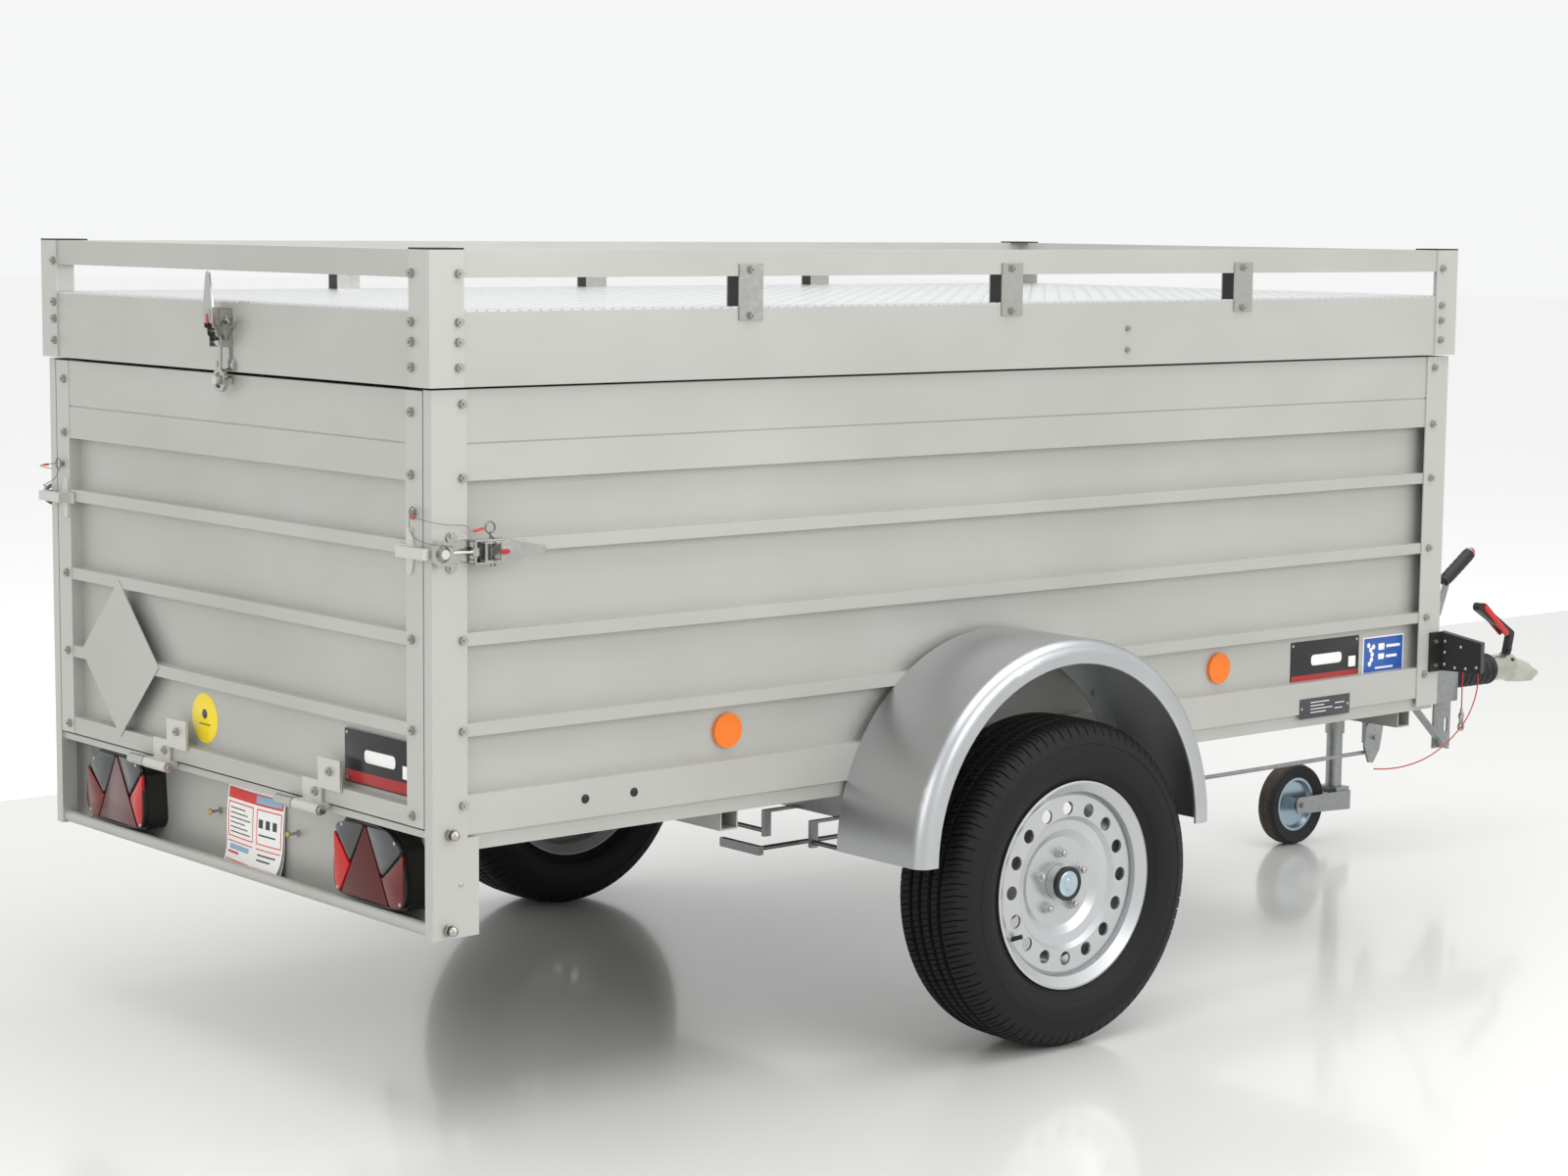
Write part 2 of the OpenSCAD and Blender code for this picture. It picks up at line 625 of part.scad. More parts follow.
mast_base = 262;
mast_top = 660;
stem_r = mast_r - 4;
stem_base = 128;
fork_half = jockey_w / 2 + 6;
stem_travel = 130;
screw_base = stem_base + 90 + stem_travel + 4;
module jockey_clamp() color(zinc) difference() {
    union() {
        block([jockey_x - 26, 42, tow_z - 16], [jockey_x + 26, jockey_y - 10, tow_z + 20]);
        translate([jockey_x, jockey_y, tow_z - 26]) cylinder(r = mast_r + 11, h = 55);
        along_y([jockey_x, jockey_y + 20, tow_z + 2], 13, 26);
    }
    translate([jockey_x, jockey_y, 0]) cylinder(r = mast_r + run_fit, h = mast_top);
    along_y([jockey_x, jockey_y + 20, tow_z + 2], 6 + run_fit, 27);
}
module clamp_lever() color(black) {
    along_y([jockey_x, jockey_y + mast_r + 2, tow_z + 2], 6, 46 - mast_r);
    along_y([jockey_x, jockey_y + 46.5, tow_z + 2], 11, 10);
    translate([jockey_x, jockey_y + 51.5, tow_z + 2]) cylinder(r = 5, h = 90);
}
module jockey_tube() color(zinc) difference() {
    translate([jockey_x, jockey_y, mast_base]) cylinder(r = mast_r, h = mast_top - mast_base);
    translate([jockey_x, jockey_y, mast_base - 1]) cylinder(r = stem_r + run_fit, h = mast_top - mast_base - 9);
    translate([jockey_x, jockey_y, mast_top - 11]) cylinder(r = 8 + run_fit, h = 12);
}
module jockey_stem() color(zinc) difference() {
    translate([jockey_x, jockey_y, stem_base]) cylinder(r = stem_r, h = 372);
    translate([jockey_x, jockey_y, stem_base - 1]) cylinder(r = 9 + run_fit, h = 71);
    translate([jockey_x, jockey_y, stem_base + 90]) cylinder(r = 11, h = 260);
    translate([jockey_x, jockey_y, stem_base + 90]) cylinder(r = 8 + run_fit, h = 300);
}
module jockey_crank() color(zinc) translate([jockey_x, jockey_y, 0]) {
    translate([0, 0, screw_base]) cylinder(r = 8, h = mast_top + 22 - screw_base);
    translate([-9, -9, mast_top + 4]) cube([110, 18, 7]);
    translate([92, 0, mast_top + 11]) cylinder(r = 10, h = 62);
}
module jockey_fork() color(zinc) {
    axle_x = jockey_x - jockey_trail;
    translate([jockey_x, jockey_y, stem_base - 12]) cylinder(r = 9, h = 76);
    block([jockey_x - 24, jockey_y - fork_half, stem_base - 16],
        [jockey_x + 24, jockey_y + fork_half, stem_base - part_gap]);
    for (y = [jockey_y - fork_half - 5, jockey_y + fork_half]) difference() {
        translate([0, y, 0]) rotate([90, 0, 0]) mirror([0, 0, 1]) linear_extrude(5)
            polygon([[axle_x - 19, 100 - 14], [axle_x - 12, 100 - 20], [jockey_x + 24, 70], [jockey_x + 24, 118],
                [axle_x - 12, 100 + 20], [axle_x - 19, 100 + 14]]);
    }
    along_y([axle_x, jockey_y - fork_half - 12, jockey_r], 6, 2 * fork_half + 24);
}
module jockey_wheel() translate([jockey_x - jockey_trail, jockey_y, jockey_r]) rotate([90, 0, 0]) {
    half = jockey_w / 2;
    color(black) rotate_extrude($fn = 72) polygon([[66, -half + 8], [92, -half], [97, -half + 4],
        [jockey_r, -half + 14], [jockey_r, half - 14], [97, half - 4], [92, half], [66, half - 8]]);
    color(zinc) rotate_extrude($fn = 72) polygon([[6 + run_fit, -half + 1], [15, -half + 1], [15, -4],
        [54, -4], [60, -half + 9], [65.9, -half + 9], [65.9, half - 9], [60, half - 9], [54, 4], [15, 4],
        [15, half - 1], [6 + run_fit, half - 1]]);
}

// ---- toggle latch, in its own axes: +X to the lever's tip, +Z away from the surface ----

latch_h = 14;
pivot_u = 20;
pivot_h = 16;
module latch_base() {
    block([-48, -17, 0], [-30, 17, 4]);
    for (s = [-1, 1]) {
        translate([-39, s * 24, 0]) cylinder(r = 10, h = 4, $fn = 32);
        translate([-39, s * 27, 4]) cylinder(r = 5, h = 3, $fn = 32);
    }
    block([-30, -20, 0], [60, 20, 3]);
    for (y = [-20, 17]) difference() {
        block([-8, y, 0], [60, y + 3, 25]);
        block([34, y - 1, 10], [42, y + 4, 18]);
    }
    along_y([0, -20, latch_h], 3, 40);
    along_y([pivot_u, -20, pivot_h], 3, 40);
}
module latch_bolt() {
    half = 21;
    ring_u = -bolt_l;
    difference() {
        along_y([0, -7, latch_h], 7, 14);
        along_y([0, -8, latch_h], 3 + run_fit, 16);
    }
    along_x([ring_u + half - 3, 0, latch_h], 3.5, bolt_l - half - 3);
    difference() {
        translate([ring_u, 0, latch_h - 4]) cylinder(r = half, h = 8);
        translate([ring_u, 0, latch_h - 5]) cylinder(r = half - 7, h = 10);
    }
}
module latch_lever() {
    for (y = [-16.5, 13.5]) difference() {
        translate([0, y + 3, 0]) rotate([90, 0, 0]) linear_extrude(3)
            polygon([[13, 9], [28, 9], [62, 26], [62, lever_h - 1], [26, lever_h - 1], [24.3, 31.5], [14, 31],
                [9.5, 27]]);
        along_y([pivot_u, y - 1, pivot_h], 3 + run_fit, 5);
        block([34, y - 1, 9], [42, y + 4, 18.5]);
    }
    translate([0, 0, lever_h - 3]) linear_extrude(3)
        polygon([[34, -16.5], [62, -16.5], [lever_l - 4, -6], [lever_l, 0], [lever_l - 4, 6], [62, 16.5], [34, 16.5]]);
}
module on_right() translate([latch_x, -half_w, latch_z]) rotate([90, 0, 0]) children();
module on_lid() translate([rear_x + sheet, -lid_latch_y, lid_latch_z]) rotate([0, -90, 0]) children();

module latch_bases() color("#a8aaa8") both_sides() on_right() latch_base();
module right_latch_lever() color("#b5b7b5") on_right() latch_lever();
module left_latch_lever() color("#b5b7b5") mirrored() on_right() latch_lever();
module lid_latch_lever() color("#b5b7b5") on_lid() latch_lever();
module right_latch_bolt() color("#b5b7b5") on_right() latch_bolt();
module left_latch_bolt() color("#b5b7b5") mirrored() on_right() latch_bolt();
module lid_latch_bolt() color("#b5b7b5") on_lid() latch_bolt();

// ---- hinges, lid brackets, gas springs ----

knuckle = 40;
spring_y = wall_in_y - 22;
spring_a = [lid_pin_x - spring_wall_back, lid_pin_z - spring_wall_drop];
spring_b = [lid_pin_x - spring_lid_back, lid_pin_z + spring_lid_rise];
spring_len = norm(spring_b - spring_a);
spring_tilt = atan2(spring_b[1] - spring_a[1], spring_a[0] - spring_b[0]);

module body_hinges() color(zinc) {
    for (y = [-gate_hinge_y, gate_hinge_y]) {
        difference() {
            along_y([gate_pin_x, y + 2, gate_pin_z], gate_barrel_r, 56);
            along_y([gate_pin_x, y + 1, gate_pin_z], pin_r, 58);
        }
        difference() {
            block([gate_pin_x, y + 2, gate_pin_z - 8], [body_x0 + 5, y + 58, gate_pin_z]);
            along_y([gate_pin_x, y + 1, gate_pin_z], gate_barrel_r - 1, 58);
        }
        along_y([gate_pin_x, y - 88, gate_pin_z], pin_r, 146);
        along_y([gate_pin_x, y - 88, gate_pin_z], 7, 6);
    }
    for (y = [-lid_hinge_y, lid_hinge_y]) {
        difference() {
            union() {
                along_y([lid_pin_x, y - knuckle, lid_pin_z], 9, knuckle - 0.5);
                block([body_x1, y - knuckle, lid_pin_z - 17], [lid_pin_x, y - 0.5, lid_pin_z - 5]);
                block([body_x1 - sheet, y - knuckle, lid_pin_z - 62], [body_x1 + 2, y - 0.5, lid_pin_z - 5]);
            }
            along_y([lid_pin_x, y - knuckle - 1, lid_pin_z], pin_r, knuckle + 2);
        }
        along_y([lid_pin_x, y - knuckle, lid_pin_z], pin_r, 2 * knuckle);
    }
    both_sides() {
        block([spring_a[0] - 30, -wall_in_y, spring_a[1] - 8], [spring_a[0] + 30, -wall_in_y + 5, spring_a[1] + 20]);
        along_y([spring_a[0], -wall_in_y + 5, spring_a[1]], 4, 22);
    }
}
module lid_brackets() color(zinc) {
    for (y = [-lid_hinge_y, lid_hinge_y]) {
        difference() {
            union() {
                along_y([lid_pin_x, y, lid_pin_z], 9, knuckle);
                block([front_x - sheet, y, lid_pin_z + 5], [lid_pin_x, y + knuckle, lid_pin_z + 17]);
                block([front_x - sheet, y, lid_pin_z + 5], [front_x + 1, y + knuckle, lid_pin_z + 56]);
            }
            along_y([lid_pin_x, y - 1, lid_pin_z], pin_r + run_fit, knuckle + 2);
        }
    }
    both_sides() {
        skirt_in = lid_w / 2 - 2 * sheet;
        block([spring_b[0] - 14, -skirt_in, spring_b[1] - 30], [spring_b[0] + 14, -skirt_in + 5, spring_b[1] + 30]);
        along_y([spring_b[0], -skirt_in + 5, spring_b[1]], 4, skirt_in - spring_y - 5 - 5.5);
        for (x = support_x) {
            block([x - support_l / 2, -lid_w / 2, deck_z - 24], [x + support_l / 2, -lid_w / 2 + sheet, rail_z + 21]);
            block([x - support_l / 2, -lid_w / 2 + sheet + rail_w, deck_z],
                [x + support_l / 2, -lid_w / 2 + 2 * sheet + rail_w, rail_z + 21]);
        }
    }
    on_lid() latch_base();
}
module in_spring_axes() translate([spring_a[0], -spring_y, spring_a[1]]) rotate([0, -90 + spring_tilt, 0]) children();
module spring_tube() in_spring_axes() difference() {
    union() {
        along_y([0, -4, 0], 10, 8);
        translate([0, 0, 8]) cylinder(r = spring_r, h = spring_len - 50 - 8);
    }
    along_y([0, -5, 0], 4 + run_fit, 10);
    translate([0, 0, 22]) cylinder(r = spring_rod_r + run_fit, h = spring_len);
}
module spring_rod() in_spring_axes() {
    translate([0, 0, 24]) cylinder(r = spring_rod_r, h = spring_len - 24 - 8);
    difference() {
        along_y([0, -4, spring_len], 10, 8);
        along_y([0, -5, spring_len], 4 + run_fit, 10);
    }
}
module right_spring_tube() color(black) spring_tube();
module left_spring_tube() color(black) mirrored() spring_tube();
module right_spring_rod() color(zinc) spring_rod();
module left_spring_rod() color(zinc) mirrored() spring_rod();

// ---- lid ----

lid_half = lid_w / 2;
module lid_deck() color(aluminium) {
    block([rear_x + sheet, -lid_half + sheet, deck_z - sheet], [front_x - sheet, lid_half - sheet, deck_z]);
    for (i = [1:4]) {
        x = rear_x + i * lid_l / 5;
        tube_y([x - 15, -spring_y + 30, deck_z - sheet - 24], [x + 15, spring_y - 30, deck_z - sheet], 2);
    }
}
module lid_skirts() color(aluminium) {
    for (x = [rear_x + sheet, front_x - 2 * sheet])
        block([x, -lid_half + sheet, lid_z], [x + sheet, lid_half - sheet, deck_z - sheet]);
    both_sides() block([rear_x + 2 * sheet, -lid_half + sheet, lid_z],
        [front_x - 2 * sheet, -lid_half + 2 * sheet, deck_z - sheet]);
}
module lid_post() {
    block([0, 0, lid_z], [lid_post_a, sheet, lid_top - sheet]);
    block([0, sheet, lid_z], [sheet, lid_post_b, lid_top - sheet]);
}
module lid_posts() color(aluminium) both_sides() {
    translate([rear_x, -lid_half, 0]) lid_post();
    translate([front_x, -lid_half, 0]) mirror([1, 0, 0]) lid_post();
}
module lid_rails() color(aluminium) {
    for (x = [rear_x + sheet, front_x - sheet - rail_w])
        tube_y([x, -lid_half + sheet + rail_w, rail_z], [x + rail_w, lid_half - sheet - rail_w, rail_z + rail_h], 2.5);
    both_sides() tube_x([rear_x + sheet, -lid_half + sheet, rail_z],
        [front_x - sheet, -lid_half + sheet + rail_w, rail_z + rail_h], 2.5);
}
module lid_caps() color(black) both_sides() {
    for (x = [rear_x, front_x - lid_post_a])
        block([x, -lid_half, lid_top - sheet], [x + lid_post_a, -lid_half + lid_post_b, lid_top]);
    for (x = support_x)
        block([x - support_l / 2, -lid_half + sheet, deck_z], [x + support_l / 2, -lid_half + sheet + rail_w, rail_z]);
}
lid_nut_z = [lid_z + 32, lid_z + 73, lid_z + 105, lid_z + 183];
module lid_fasteners() color(zinc) both_sides() {
    for (z = lid_nut_z) {
        for (x = [rear_x + 57, front_x - 51]) nut_right(x, z, lid_half);
        nut_rear(-lid_half + 51, z, rear_x);
        nut_front(-lid_half + 51, z, front_x);
    }
    for (x = support_x, z = [deck_z - 16, rail_z + 11]) nut_right(x, z, lid_half);
    for (z = [spring_b[1] - 20, spring_b[1] + 21]) nut_right(spring_b[0], z, lid_half - sheet, 10);
}

// ---- tailgate ----

module gate_outline() {
    skin_x = gate_t - skin_t;
    translate([skin_x, gate_base]) square([skin_t, gate_top - gate_base]);
    difference() {
        for (b = gate_bands) translate([1, b[0]]) square([gate_t - 1, b[1] - b[0]]);
        translate([0, groove_z - 1.5]) square([3, 3]);
    }
}
module tailgate_panel() color(aluminium) translate([body_x0, gate_half - stile_w, 0]) rotate([90, 0, 0])
    linear_extrude(2 * (gate_half - stile_w)) gate_outline();
module tailgate_stiles() color(aluminium) both_sides() difference() {
    block([body_x0, -gate_half, gate_base], [body_x0 + gate_t, -gate_half + stile_w, gate_top]);
    block([body_x0 + sheet, -gate_half + sheet, gate_base - 1],
        [body_x0 + gate_t - sheet, -gate_half + stile_w - sheet, wall_top]);
}
leaf_t = 5;
module gate_keeper() {
    face_y = -gate_half + 6;
    block([body_x0 - 3, face_y, latch_z - 10], [body_x0, face_y + 62, latch_z + 10]);
    for (s = [-1, 1]) hull() {
        along_x([body_x0 - 3, face_y + 26, latch_z], 12, 3, $fn = 32);
        along_x([body_x0 - 3, face_y + 30, latch_z + s * 30], 9, 3, $fn = 32);
    }
    block([rear_x - 14, face_y + 12, latch_z - 9], [body_x0 - 3, face_y + 40, latch_z + 9]);
    block([rear_x - 14, -half_w - 9, latch_z - 9], [rear_x - 2, face_y + 12, latch_z + 9]);
    block([rear_x - 2, -half_w - 9, latch_z - 9], [latch_x - bolt_l, -half_w - 3, latch_z + 9]);
    along_y([latch_x - bolt_l, -half_w - 26, latch_z], catch_r, 23);
}
module gate_brackets() color("#c9cac4") {
    for (y = [-gate_hinge_y, gate_hinge_y]) {
        difference() {
            union() {
                along_y([gate_pin_x, y - 80, gate_pin_z], gate_barrel_r, 80);
                block([gate_pin_x, y - 80, gate_pin_z + 2], [body_x0, y, gate_pin_z + 9]);
                block([body_x0 - leaf_t, y - 60, gate_pin_z + 2], [body_x0, y, gate_pin_z + 46]);
                block([body_x0 - leaf_t, y - 120, gate_pin_z + 34], [body_x0, y - 50, gate_pin_z + 88]);
            }
            along_y([gate_pin_x, y - 81, gate_pin_z], pin_r + run_fit, 82);
        }
    }
    both_sides() gate_keeper();
    along_x([rear_x - 24, -lid_latch_y, lid_latch_z - bolt_l], catch_r, body_x0 - rear_x + 24);
}
gate_nut_z = [wall_top - 37, wall_top - 139, rib_z[1], rib_z[0], gate_base + 18];
module gate_fasteners() color(zinc) {
    both_sides() for (z = gate_nut_z) nut_rear(-gate_half + 32, z, body_x0);
    for (y = [-gate_hinge_y, gate_hinge_y]) {
        nut_rear(y - 42, gate_pin_z + 26, body_x0 - leaf_t);
        nut_rear(y - 88, gate_pin_z + 66, body_x0 - leaf_t);
    }
}
hazard_y = 393;
hazard_z = rib_z[0] + 6;
hazard_half = 148;
module gate_plates() color("#d2d3cf") {
    translate([body_x0 + 1, hazard_y, hazard_z]) rotate([0, -90, 0]) linear_extrude(2)
        polygon([[-hazard_half, 0], [0, -hazard_half], [hazard_half, 0], [0, hazard_half]]);
    block([body_x0 + gate_t - skin_t - 5, -570, gate_base + 41], [body_x0 + gate_t - skin_t, -360, gate_base + 133]);
}

// ---- breakaway cable ----

// Route of the cable's middle line, measured from the lid's front face, the centreline and the ground.
cable_r = 1.6;
cable_route = [[519, -62, 216], [560, -66, 212], [620, -70, 212], [690, -74, 222], [750, -74, 240],
    [810, -72, 268], [860, -68, 300], [895, -63, 336], [918, -58, 376], [926, -52, 416], [920, -48, 452],
    [905, -46, 470], [886, -46, 462], [874, -48, 436], [868, -50, 400], [866, -52, 364], [866, -52, 330]];
cable_points = [for (p = cable_route) [p[0] + front_x, p[1], p[2]]];
cable_steps = 4;
cable_sides = 8;
// A Catmull-Rom curve through the points of `pts`, at stretch i and share t of it.
function at(pts, i) = pts[max(0, min(len(pts) - 1, i))];
function curve(pts, i, t) = 0.5 * (2 * at(pts, i) + (at(pts, i + 1) - at(pts, i - 1)) * t
    + (2 * at(pts, i - 1) - 5 * at(pts, i) + 4 * at(pts, i + 1) - at(pts, i + 2)) * t * t
    + (3 * at(pts, i) - at(pts, i - 1) - 3 * at(pts, i + 1) + at(pts, i + 2)) * t * t * t);
function unit(v) = v / norm(v);
path = [for (i = [0:len(cable_points) - 2], k = [0:cable_steps - 1]) curve(cable_points, i, k / cable_steps),
    cable_points[len(cable_points) - 1]];
rings = [for (i = [0:len(path) - 1]) let (
    d = unit(at(path, i + 1) - at(path, i - 1)), side = unit(cross([0, 1, 0], d)), up = cross(d, side))
    for (k = [0:cable_sides - 1])
        path[i] + cable_r * (cos(k * 360 / cable_sides) * side + sin(k * 360 / cable_sides) * up)];
module breakaway_cable() color("#a8382f") polyhedron(points = rings, faces = concat(
    [[for (k = [0:cable_sides - 1]) cable_sides - 1 - k]],
    [for (i = [0:len(path) - 2], k = [0:cable_sides - 1]) let (a = i * cable_sides, n = (k + 1) % cable_sides)
        [a + k, a + n, a + cable_sides + n, a + cable_sides + k]],
    [[for (k = [0:cable_sides - 1]) (len(path) - 1) * cable_sides + k]]));
module cable_hook() color(zinc) translate(cable_points[len(cable_points) - 1] - [0, 0, 12]) {
    cylinder(r = 4, h = 12);
    translate([0, 0, -34]) rotate([90, 0, 0]) translate([0, 0, -2.5]) difference() {
        union() {
            translate([-6, 6, 0]) cube([12, 30, 5]);
            cylinder(r = 11, h = 5);
            translate([0, 28, 0]) cylinder(r = 9, h = 5);
        }
        translate([0, 0, -1]) cylinder(r = 6, h = 7);
        translate([0, 10, 2.5]) cube([5, 22, 7], center = true);
    }
}

floor_panel();
chassis_frame();
right_wall();
left_wall();
front_wall();
corner_posts();
light_carrier();
lamp_housings();
lamp_lenses();
post_fasteners();
side_reflectors();
mudguards();
axle_beam();
drawbar();
overrun_housing();
bellows();
latch_bases();
body_hinges();
jockey_clamp();
lid_deck();
lid_skirts();
lid_posts();
lid_rails();
lid_caps();
lid_brackets();
lid_fasteners();
tailgate_panel();
tailgate_stiles();
gate_brackets();
gate_fasteners();
gate_plates();
right_latch_lever();
left_latch_lever();
lid_latch_lever();
right_latch_bolt();
left_latch_bolt();
lid_latch_bolt();
right_spring_tube();
left_spring_tube();
right_spring_rod();
left_spring_rod();
right_arm();
left_arm();
right_rim();
left_rim();
right_tyre();
left_tyre();
drawtube();
coupling_head();
coupling_handle();
handbrake_lever();
brake_rod();
jockey_tube();
jockey_stem();
jockey_fork();
jockey_wheel();
jockey_crank();
clamp_lever();
breakaway_cable();
cable_hook();
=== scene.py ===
"""Finish and fine detail for a single-axle box trailer with a lid, a roof rail and a drop tailgate."""

import math

import bpy
import numpy as np
from bpy.props import FloatProperty, IntProperty, PointerProperty, StringProperty
from mathutils import Matrix, Vector


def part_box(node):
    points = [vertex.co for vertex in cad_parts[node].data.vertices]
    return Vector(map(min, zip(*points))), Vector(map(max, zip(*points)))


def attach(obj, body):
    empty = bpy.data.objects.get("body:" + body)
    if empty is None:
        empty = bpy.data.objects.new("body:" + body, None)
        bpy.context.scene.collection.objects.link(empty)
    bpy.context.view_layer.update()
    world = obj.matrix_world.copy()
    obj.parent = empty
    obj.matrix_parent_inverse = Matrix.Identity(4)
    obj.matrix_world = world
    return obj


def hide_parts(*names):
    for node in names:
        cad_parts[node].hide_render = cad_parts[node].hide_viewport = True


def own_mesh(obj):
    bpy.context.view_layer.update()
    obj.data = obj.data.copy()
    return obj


bl_info = {
    "name": "Box trailer",
    "version": (1, 0, 0),
    "blender": (4, 5, 0),
    "location": "View3D > Sidebar > Trailer",
    "description": "Builds the surfaces and fine pieces of a box trailer round its frame",
    "category": "Object",
}

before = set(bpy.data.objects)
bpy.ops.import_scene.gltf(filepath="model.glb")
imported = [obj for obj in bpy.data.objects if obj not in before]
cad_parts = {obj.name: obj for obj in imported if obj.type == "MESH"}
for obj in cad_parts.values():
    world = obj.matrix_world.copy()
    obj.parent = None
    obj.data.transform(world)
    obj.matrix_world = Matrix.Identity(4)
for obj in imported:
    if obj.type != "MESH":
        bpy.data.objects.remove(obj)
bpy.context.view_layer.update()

MM = 0.001
REAR, FRONT = (corner.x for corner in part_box("lid_posts"))
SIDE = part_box("corner_posts")[1].y
WALL_SKIN_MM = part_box("right_wall")[0].y / MM + 22

# The camera's place is in metres from the lid's rear edge, the middle plane and the floor.
CAMERA_AT = (REAR - 2.8085, -4.854, 1.5323)
CAMERA_YAW, CAMERA_PITCH, CAMERA_ROLL = 40.305, 6.754, 0.548
FLOOR_EDGE = 2.6

# Sizes in millimetres that the fine pieces share with the frame.
SILL_FACE = 650.0
HALF_TRACK, BOLT_CIRCLE, HUB_FACE = 779.0, 112.0, 841.0
LAMP_INNER, LAMP_W, LAMP_H = 330.0, 223.0, 137.0
PANEL_X, STICKER_X = -1878.5, -1873.6
REAR_PLATE_Y, SIDE_PLATE_X, PLATE_Z = -360.0, 247.0, 572.0
BLUE_STICKER, TYPE_TAG = (480.0, 576.0), (254.0, 507.0)
EYELET = (-1901.0, -604.0, 1050.0)
GRIP_X, GRIP_Z, GRIP_LEAN = 1503.5, 661.0, 57.0
CAP_NUT_FACE, SILL_PLUG_Z, PLATE_STUD_Y, PLATE_STUD_Z = 665.5, 550.0, 135.0, 440.0


# ---- colour and material helpers ----

def colour(code):
    """Linear red, green, blue and alpha of an sRGB hex colour."""
    parts = [int(code[i:i + 2], 16) / 255 for i in (1, 3, 5)]
    return [c / 12.92 if c <= 0.04045 else ((c + 0.055) / 1.055) ** 2.4 for c in parts] + [1.0]


def add(tree, kind, links=None, **settings):
    """Adds a node, gives it its settings, and links or sets its inputs by name or number."""
    node = tree.nodes.new(kind)
    for key, value in settings.items():
        setattr(node, key, value)
    for key, value in (links or {}).items():
        if isinstance(value, bpy.types.NodeSocket):
            tree.links.new(value, node.inputs[key])
        else:
            node.inputs[key].default_value = value
    return node


def surface(name, base, roughness, metallic=0.0, **sockets):
    """A named material with its shader's plain values set. Returns the material, its tree and its shader."""
    material = bpy.data.materials.new(name)
    material.use_nodes = True
    tree = material.node_tree
    shader = tree.nodes["Principled BSDF"]
    shader.inputs["Base Color"].default_value = colour(base)
    shader.inputs["Roughness"].default_value = roughness
    shader.inputs["Metallic"].default_value = metallic
    for key, value in sockets.items():
        shader.inputs[key.replace("_", " ")].default_value = value
    return material, tree, shader


def place(tree, scale_mm=(1, 1, 1)):
    """Object coordinates stretched so that one unit is the given millimetres along each axis."""
    source = add(tree, "ShaderNodeTexCoord").outputs["Object"]
    scale = [1 / (s * MM) for s in scale_mm]
    return add(tree, "ShaderNodeMapping", {"Vector": source, "Scale": scale}).outputs["Vector"]


def noise(tree, vector, detail=3.0, roughness=0.55):
    """Plain noise at one cycle per unit of the vector."""
    return add(tree, "ShaderNodeTexNoise", {"Vector": vector, "Scale": 1.0, "Detail": detail,
                                            "Roughness": roughness}).outputs["Fac"]


def spread(tree, value, low, high, start=0.3, end=0.7):
    """Carries a value from start..end to low..high."""
    return add(tree, "ShaderNodeMapRange", {"Value": value, "From Min": start, "From Max": end,
                                            "To Min": low, "To Max": high}).outputs["Result"]


def between(tree, value, first, second):
    """Mixes two colours by a value from 0 to 1."""
    mix = add(tree, "ShaderNodeMix", {0: value, 6: first, 7: second}, data_type="RGBA")
    return mix.outputs[2]


def tint(tree, shader, value, first, second, start=0.3, end=0.7):
    """Base colour that goes from one hex colour to another as a value goes from start to end."""
    mix = between(tree, spread(tree, value, 0, 1, start, end), colour(first), colour(second))
    tree.links.new(mix, shader.inputs["Base Color"])


def vary_roughness(tree, shader, value, low, high, start=0.3, end=0.7):
    """Roughness that goes from low to high as a value goes from start to end."""
    tree.links.new(spread(tree, value, low, high, start, end), shader.inputs["Roughness"])


def bump(tree, shader, height, distance_mm, strength=1.0):
    """Lifts the surface's shading by a height of the given millimetres."""
    node = add(tree, "ShaderNodeBump", {"Height": height, "Distance": distance_mm * MM, "Strength": strength})
    tree.links.new(node.outputs["Normal"], shader.inputs["Normal"])


def maths(tree, operation, first, second=0.0):
    """One sum, product or other operation on two values."""
    return add(tree, "ShaderNodeMath", {0: first, 1: second}, operation=operation).outputs[0]


def darker(code, share):
    """A hex colour's linear value times a share, as the dark end of a mix."""
    return [c * share for c in colour(code)[:3]] + [1.0]


def set_input(tree, shader, name, socket):
    """Links a socket to one of the shader's inputs."""
    tree.links.new(socket, shader.inputs[name])


# ---- materials ----

def anodised_sheet():
    """Mill-rolled aluminium with a matt anodised skin: pale warm grey with faint lengthwise grain."""
    material, tree, shader = surface("anodised_aluminium_satin", "#B9B8B3", 0.44, 0.35)
    grain = noise(tree, place(tree, (180, 180, 1.6)), 4)
    cloud = noise(tree, place(tree, (420, 420, 260)), 2)
    tint(tree, shader, cloud, "#B5B4AF", "#BEBDB9")
    vary_roughness(tree, shader, grain, 0.38, 0.52)
    bump(tree, shader, grain, 0.05, 0.35)
    return material


def post_sheet():
    """Folded aluminium sheet, anodised: a little brighter than the wall planks, grain running upward."""
    material, tree, shader = surface("anodised_aluminium_folded", "#BFBEBA", 0.42, 0.35)
    grain = noise(tree, place(tree, (1.8, 1.8, 160)), 4)
    vary_roughness(tree, shader, grain, 0.34, 0.48)
    bump(tree, shader, grain, 0.04, 0.3)
    return material


